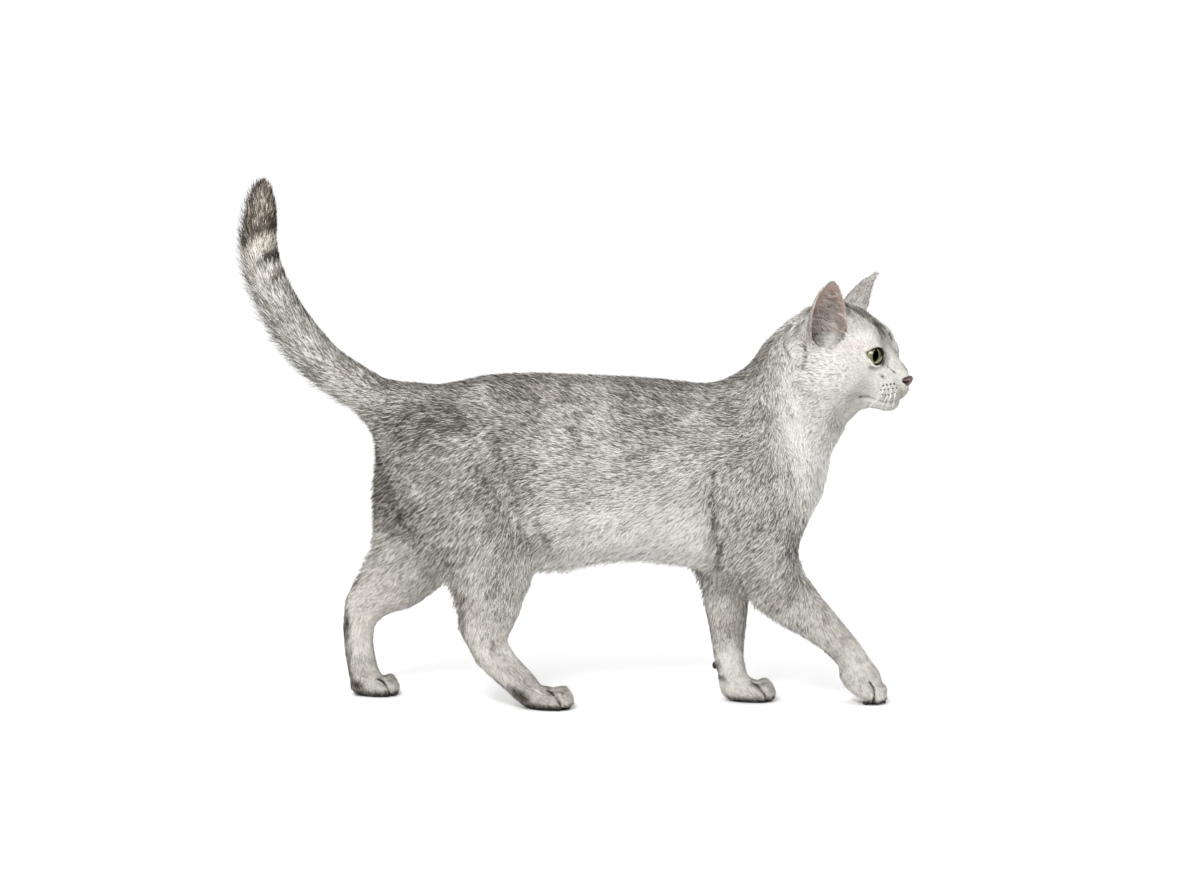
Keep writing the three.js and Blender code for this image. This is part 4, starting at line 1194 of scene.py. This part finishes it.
# nose leather: fine-grained skin with a moist sheen
leather = painted_finish("moist_nose_leather", "nose_colour", 0.5, 0.3)
ball = bmesh.new()
bmesh.ops.create_uvsphere(ball, u_segments=96, v_segments=72, radius=1)
mesh = mesh_of("nose_leather", ball)
ray, _ = mesh_arrays(mesh)
front, aside, high = ray.T
shape = ray.copy()
shape[:, 1] *= 1 - 0.52 * ease(-high, -0.2, 0.95)
shape[:, 0] = np.where(front > 0.72, 0.72 + (front - 0.72) * 0.5, front) + 0.16 * high * (front > 0)
shape[:, 2] *= 1 - 0.45 * ease(-front, -0.45, 0.3) * (high > 0)
wing = both_sides(ray)
nostril = path_gap(wing, NOSTRIL) - 0.07 * ease(front, 0.2, 0.6)
pit = bell(np.maximum(nostril, 0), 0.15)
# a painted highlight along the rim of each nostril
nostril_highlight = bell(nostril - 0.3, 0.1) * (high > -0.3) * (front < 0.8)
groove = bell(aside, 0.07) * ease(-high, -0.55, -0.1) * (front > 0.2)
shape *= (1 - 0.26 * pit - 0.09 * groove)[:, None]
set_places(mesh, from_head(NOSE_AT + shape * NOSE_HALF))
grain = speckle(ray * 10, 1.0, 3) - 0.5
colour = in_tones(ease(front, 0.1, 0.95), NOSE_TONES) * (1 + 0.22 * grain + 0.7 * nostril_highlight)[:, None]
# the nostrils and the groove down the middle are painted near black: painted shade of their depth
hole = np.clip(pit * 1.2 + 0.6 * groove, 0, 1)[:, None]
colour = colour * (1 - hole) + linear("120B0A") * hole
paint(mesh, "nose_colour", colour)
mesh.materials.append(leather)
object_of(mesh, "nose_leather", "nose")

# ---------------------------------------------------------------------------------------------
# Whiskers: stiff white hairs from three rows of dark pores on each lip, and a few over each eye.
# Each is a tapering rod swept along a curve that droops back; the pores are small dark beads.
# ---------------------------------------------------------------------------------------------
# Rows of pores in the head's frame, left side: front end, back end and how many.
PORE_ROWS = [
    ([51.6, 14.0, -7.8], [43.6, 18.4, -11.0], 4),
    ([53.6, 12.8, -11.2], [42.4, 18.4, -15.6], 5),
    ([53.2, 13.4, -15.0], [44.5, 16.8, -19.6], 5),
]
BROW_PORES = [[27, 22, 25], [25, 24, 24], [23, 25.5, 22.5]]
WHISKER_R = 0.19
WHISKER_STEPS = 8
# whisker keratin: stiff, white and smooth
whisker_keratin = plain_finish("white_whisker_keratin", "FBFAF6", 0.35)
onto_skin = BVHTree.FromPolygons([tuple(v) for v in places], [tuple(p.vertices) for p in whole.polygons])


def on_skin(spot):
    """The point of the hide nearest a place in the head's frame, and its normal, in mm."""
    at, normal, _, _ = onto_skin.find_nearest(Vector(from_head(spot)))
    return np.array(at), np.array(normal)


whiskers = bpy.data.curves.new("whiskers", "CURVE")
whiskers.dimensions = "3D"
whiskers.bevel_depth = WHISKER_R * MM
whiskers.bevel_resolution = 1
whiskers.use_fill_caps = True
beads = bmesh.new()


def sweep(start, way, droop, long, thick):
    """One whisker as a line of the curve, drooping and thinning to its tip."""
    line = whiskers.splines.new("POLY")
    line.points.add(WHISKER_STEPS)
    for i in range(WHISKER_STEPS + 1):
        s = i / WHISKER_STEPS
        co = (start + way * long * s + droop * long * s * s) * MM
        line.points[i].co = (*co, 1)
        line.points[i].radius = thick * (1 - 0.85 * s)


for flip in (-1, 1):
    for row, (front_end, back_end, count) in enumerate(PORE_ROWS):
        for i in range(count):
            t = i / (count - 1)
            spot = (np.array(front_end) * (1 - t) + np.array(back_end) * t) * np.array([1, flip, 1])
            at, normal = on_skin(spot)
            size = 0.8 - 0.1 * row
            where = Matrix.Translation(Vector((at + normal * 1.1) * MM))
            bmesh.ops.create_icosphere(beads, subdivisions=1, radius=size * MM, matrix=where)
            if row < 1 and i < 2 or (row + i) % 2 and t > 0.4:
                continue
            way = unit(HEAD_TURN @ np.array([0.42 - 0.8 * t, flip * 0.9, -0.45 - 0.12 * row]))
            droop = HEAD_TURN @ np.array([-0.05, 0, -0.24])
            sweep(at + normal * 0.4, way, droop, 16 + 11 * t + rng.uniform(-1.5, 1.5), 1)
    for spot in BROW_PORES:
        at, normal = on_skin(np.array(spot) * np.array([1, flip, 1]))
        way = unit(normal + HEAD_TURN @ np.array([-0.2, 0, 0.9]))
        sweep(at, way, HEAD_TURN @ np.array([-0.3, 0, -0.1]), rng.uniform(11, 14), 0.5)
holder = placed("holder", whiskers)
rods = bpy.data.meshes.new_from_object(holder.evaluated_get(bpy.context.evaluated_depsgraph_get()))
rods.name = "whiskers"
bpy.data.objects.remove(holder)
bpy.data.curves.remove(whiskers)
rods.materials.clear()
rods.materials.append(whisker_keratin)
object_of(rods, "whisker")
# the skin round a whisker's root: dark and dull
mesh = mesh_of("whisker_pores", beads)
mesh.materials.append(plain_finish("dark_pore_skin", "2B2624", 0.6))
object_of(mesh, "whisker")

# ---------------------------------------------------------------------------------------------
# The pads: bare dark leather under each paw, four toe pads and, but for the paw that comes down toes
# first, one wide pad, with a claw over each toe pad and a small pad behind each fore wrist. All are
# flattened balls and short cones.
# ---------------------------------------------------------------------------------------------
# Places in a paw's own frame for a knuckle at the origin: x, y, half length, half width.
TOES = [(13.6, -3.7, 4.6, 3.3), (13.6, 3.7, 4.6, 3.3), (8.6, -10.2, 4.2, 3.1), (8.6, 10.2, 4.2, 3.1)]
HEEL = (-2.5, 0.0, 7.0, 8.5)
PAD_HIGH = 2.0
# place and half sizes
WRIST_PADS = [((116.5, 12.5, 29), (2.4, 2.4, 3.2)), ((208.5, -4, 45), (2.2, 2.2, 3.0))]
CLAW_LEAN = math.radians(118)
root_r, tip_r, claw_long = 0.9 * MM, 0.12 * MM, 3.6 * MM
pads = bmesh.new()
claws = bmesh.new()


def flat_ball(place, half, segments, rings, turn=Matrix()):
    """A pad as a ball of three half sizes, in mm, at a place in the frame that turn gives."""
    form = Matrix.Translation(Vector(place) * MM) @ Matrix.Diagonal((*(Vector(half) * MM), 1))
    bmesh.ops.create_uvsphere(pads, u_segments=segments, v_segments=rings, radius=1, matrix=turn @ form)


for name, (x, y, lift, heading, dip, size) in PAWS.items():
    headed = Matrix.Rotation(math.radians(heading), 4, "Z")
    dipped = Matrix.Rotation(math.radians(dip), 4, "Y")
    tilt = dip / 32  # 1 for the paw that comes down toes first, whose heel pad is off the floor
    high = PAD_HIGH * (1 - 0.2 * tilt)
    for px, py, half_x, half_y in TOES + [HEEL] * (tilt == 0):
        place = ((px - 1.8 * tilt) * size, (0.8 - 0.1 * tilt) * py * size, high)
        half = (half_x * (1 - 0.3 * tilt) * size, half_y * (1 - 0.25 * tilt) * size, high)
        flat_ball(place, half, 24, 14, Matrix.Translation(Vector((x, y, 0)) * MM) @ headed)
    foot = Matrix.Translation(Vector((x, y, lift)) * MM) @ headed @ dipped
    for i in (-1.5, -0.5, 0.5, 1.5):
        claw_at = Vector((18.6 - 1.2 * tilt - 2.4 * i * i, 7.3 * i, 5.5 + 3 * tilt)) * size * MM
        form = foot @ Matrix.Translation(claw_at) @ Matrix.Rotation(CLAW_LEAN, 4, "Y")
        bmesh.ops.create_cone(
            claws, cap_ends=True, segments=12, radius1=root_r, radius2=tip_r, depth=claw_long, matrix=form
        )
for place, half in WRIST_PADS:
    flat_ball(place, half, 20, 12)
# paw pad leather: dark, dull and finely pebbled
pad_leather = plain_finish("pebbled_pad_leather", "2A2422", 0.55)
PEBBLE = 0.8 * MM
tree = pad_leather.node_tree
place = node(tree, "ShaderNodeTexCoord")
pebbles = node(tree, "ShaderNodeTexVoronoi", [("Vector", place.outputs["Object"])], in_Scale=1 / PEBBLE)
raised = [("Height", pebbles.outputs["Distance"])]
bump = node(tree, "ShaderNodeBump", raised, in_Strength=0.3, in_Distance=0.1 * MM)
tree.links.new(bump.outputs["Normal"], tree.nodes["Principled BSDF"].inputs["Normal"])
mesh = mesh_of("paw_pads", pads)
mesh.materials.append(pad_leather)
object_of(mesh, "pad")
# claw horn: pale, clear and smooth
mesh = mesh_of("claws", claws)
mesh.materials.append(plain_finish("clear_claw_horn", "B9ABA0", 0.3))
object_of(mesh, "claw")

# ---------------------------------------------------------------------------------------------
# Floor, light and camera: a white board under even white light, with soft boxes above and to the
# cat's right. The camera stands far off on that side, a little above the cat and tipped down to it.
# ---------------------------------------------------------------------------------------------
FLOOR_HALF = 30  # m
WORLD_LIGHT = 1.09
sheet = bmesh.new()
bmesh.ops.create_grid(sheet, x_segments=1, y_segments=1, size=FLOOR_HALF)
floor = placed("floor", mesh_of("floor", sheet))
floor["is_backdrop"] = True
floor.visible_glossy = False  # so that the eyes mirror the soft boxes alone
# painted board: white and quite matt
board = plain_finish("matt_white_board", "F7F7F7", 0.9)
board.node_tree.nodes["Principled BSDF"].inputs["Specular IOR Level"].default_value = 0
floor.data.materials.append(board)
world = bpy.data.worlds.new("studio")
bpy.context.scene.world = world
world.use_nodes = True
world.node_tree.nodes["Background"].inputs["Color"].default_value = (1, 1, 1, 1)
world.node_tree.nodes["Background"].inputs["Strength"].default_value = WORLD_LIGHT
world.cycles_visibility.glossy = False
# Soft boxes: place, width and height, power, and whether it lights the coat or only shines in the eyes.
LIT_AT = Vector((0.05, 0, 0.2))  # where they face
SOFT_BOXES = [
    ((-0.4, -1.44, 1.23), (0.55, 0.42), 24, True),
    ((0.3, -0.4, 2.6), (2.6, 2.6), 8, True),
    ((-0.42, -1.5, 1.28), (1.15, 0.8), 46, False),
]
for i, (spot, (wide, tall), power, lights_coat) in enumerate(SOFT_BOXES):
    box = bpy.data.lights.new(f"soft_box_{i + 1}", "AREA")
    box.shape = "RECTANGLE"
    box.size, box.size_y, box.energy = wide, tall, power
    lamp = placed(box.name, box)
    lamp.location = spot
    lamp.visible_diffuse = lights_coat
    lamp.rotation_euler = (LIT_AT - Vector(spot)).to_track_quat("-Z", "Y").to_euler()
CAMERA_DISTANCE = 3.2
CAMERA_TILT = math.radians(7)
CAMERA_AIM = Vector((0.019825, 0, 0.214))
VIEW_WIDE = 0.996  # how much of the aim's plane the camera takes in, m
SENSOR = 36
camera = placed("camera", bpy.data.cameras.new("camera"))
camera.data.sensor_width = SENSOR
camera.data.lens = SENSOR * CAMERA_DISTANCE / VIEW_WIDE
camera.data.clip_end = 50
camera.location = CAMERA_AIM + CAMERA_DISTANCE * Vector((0, -math.cos(CAMERA_TILT), math.sin(CAMERA_TILT)))
camera.rotation_euler = (math.pi / 2 - CAMERA_TILT, 0, 0)
bpy.context.scene.camera = camera
bpy.context.scene.view_settings.view_transform = "Standard"

low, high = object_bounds()
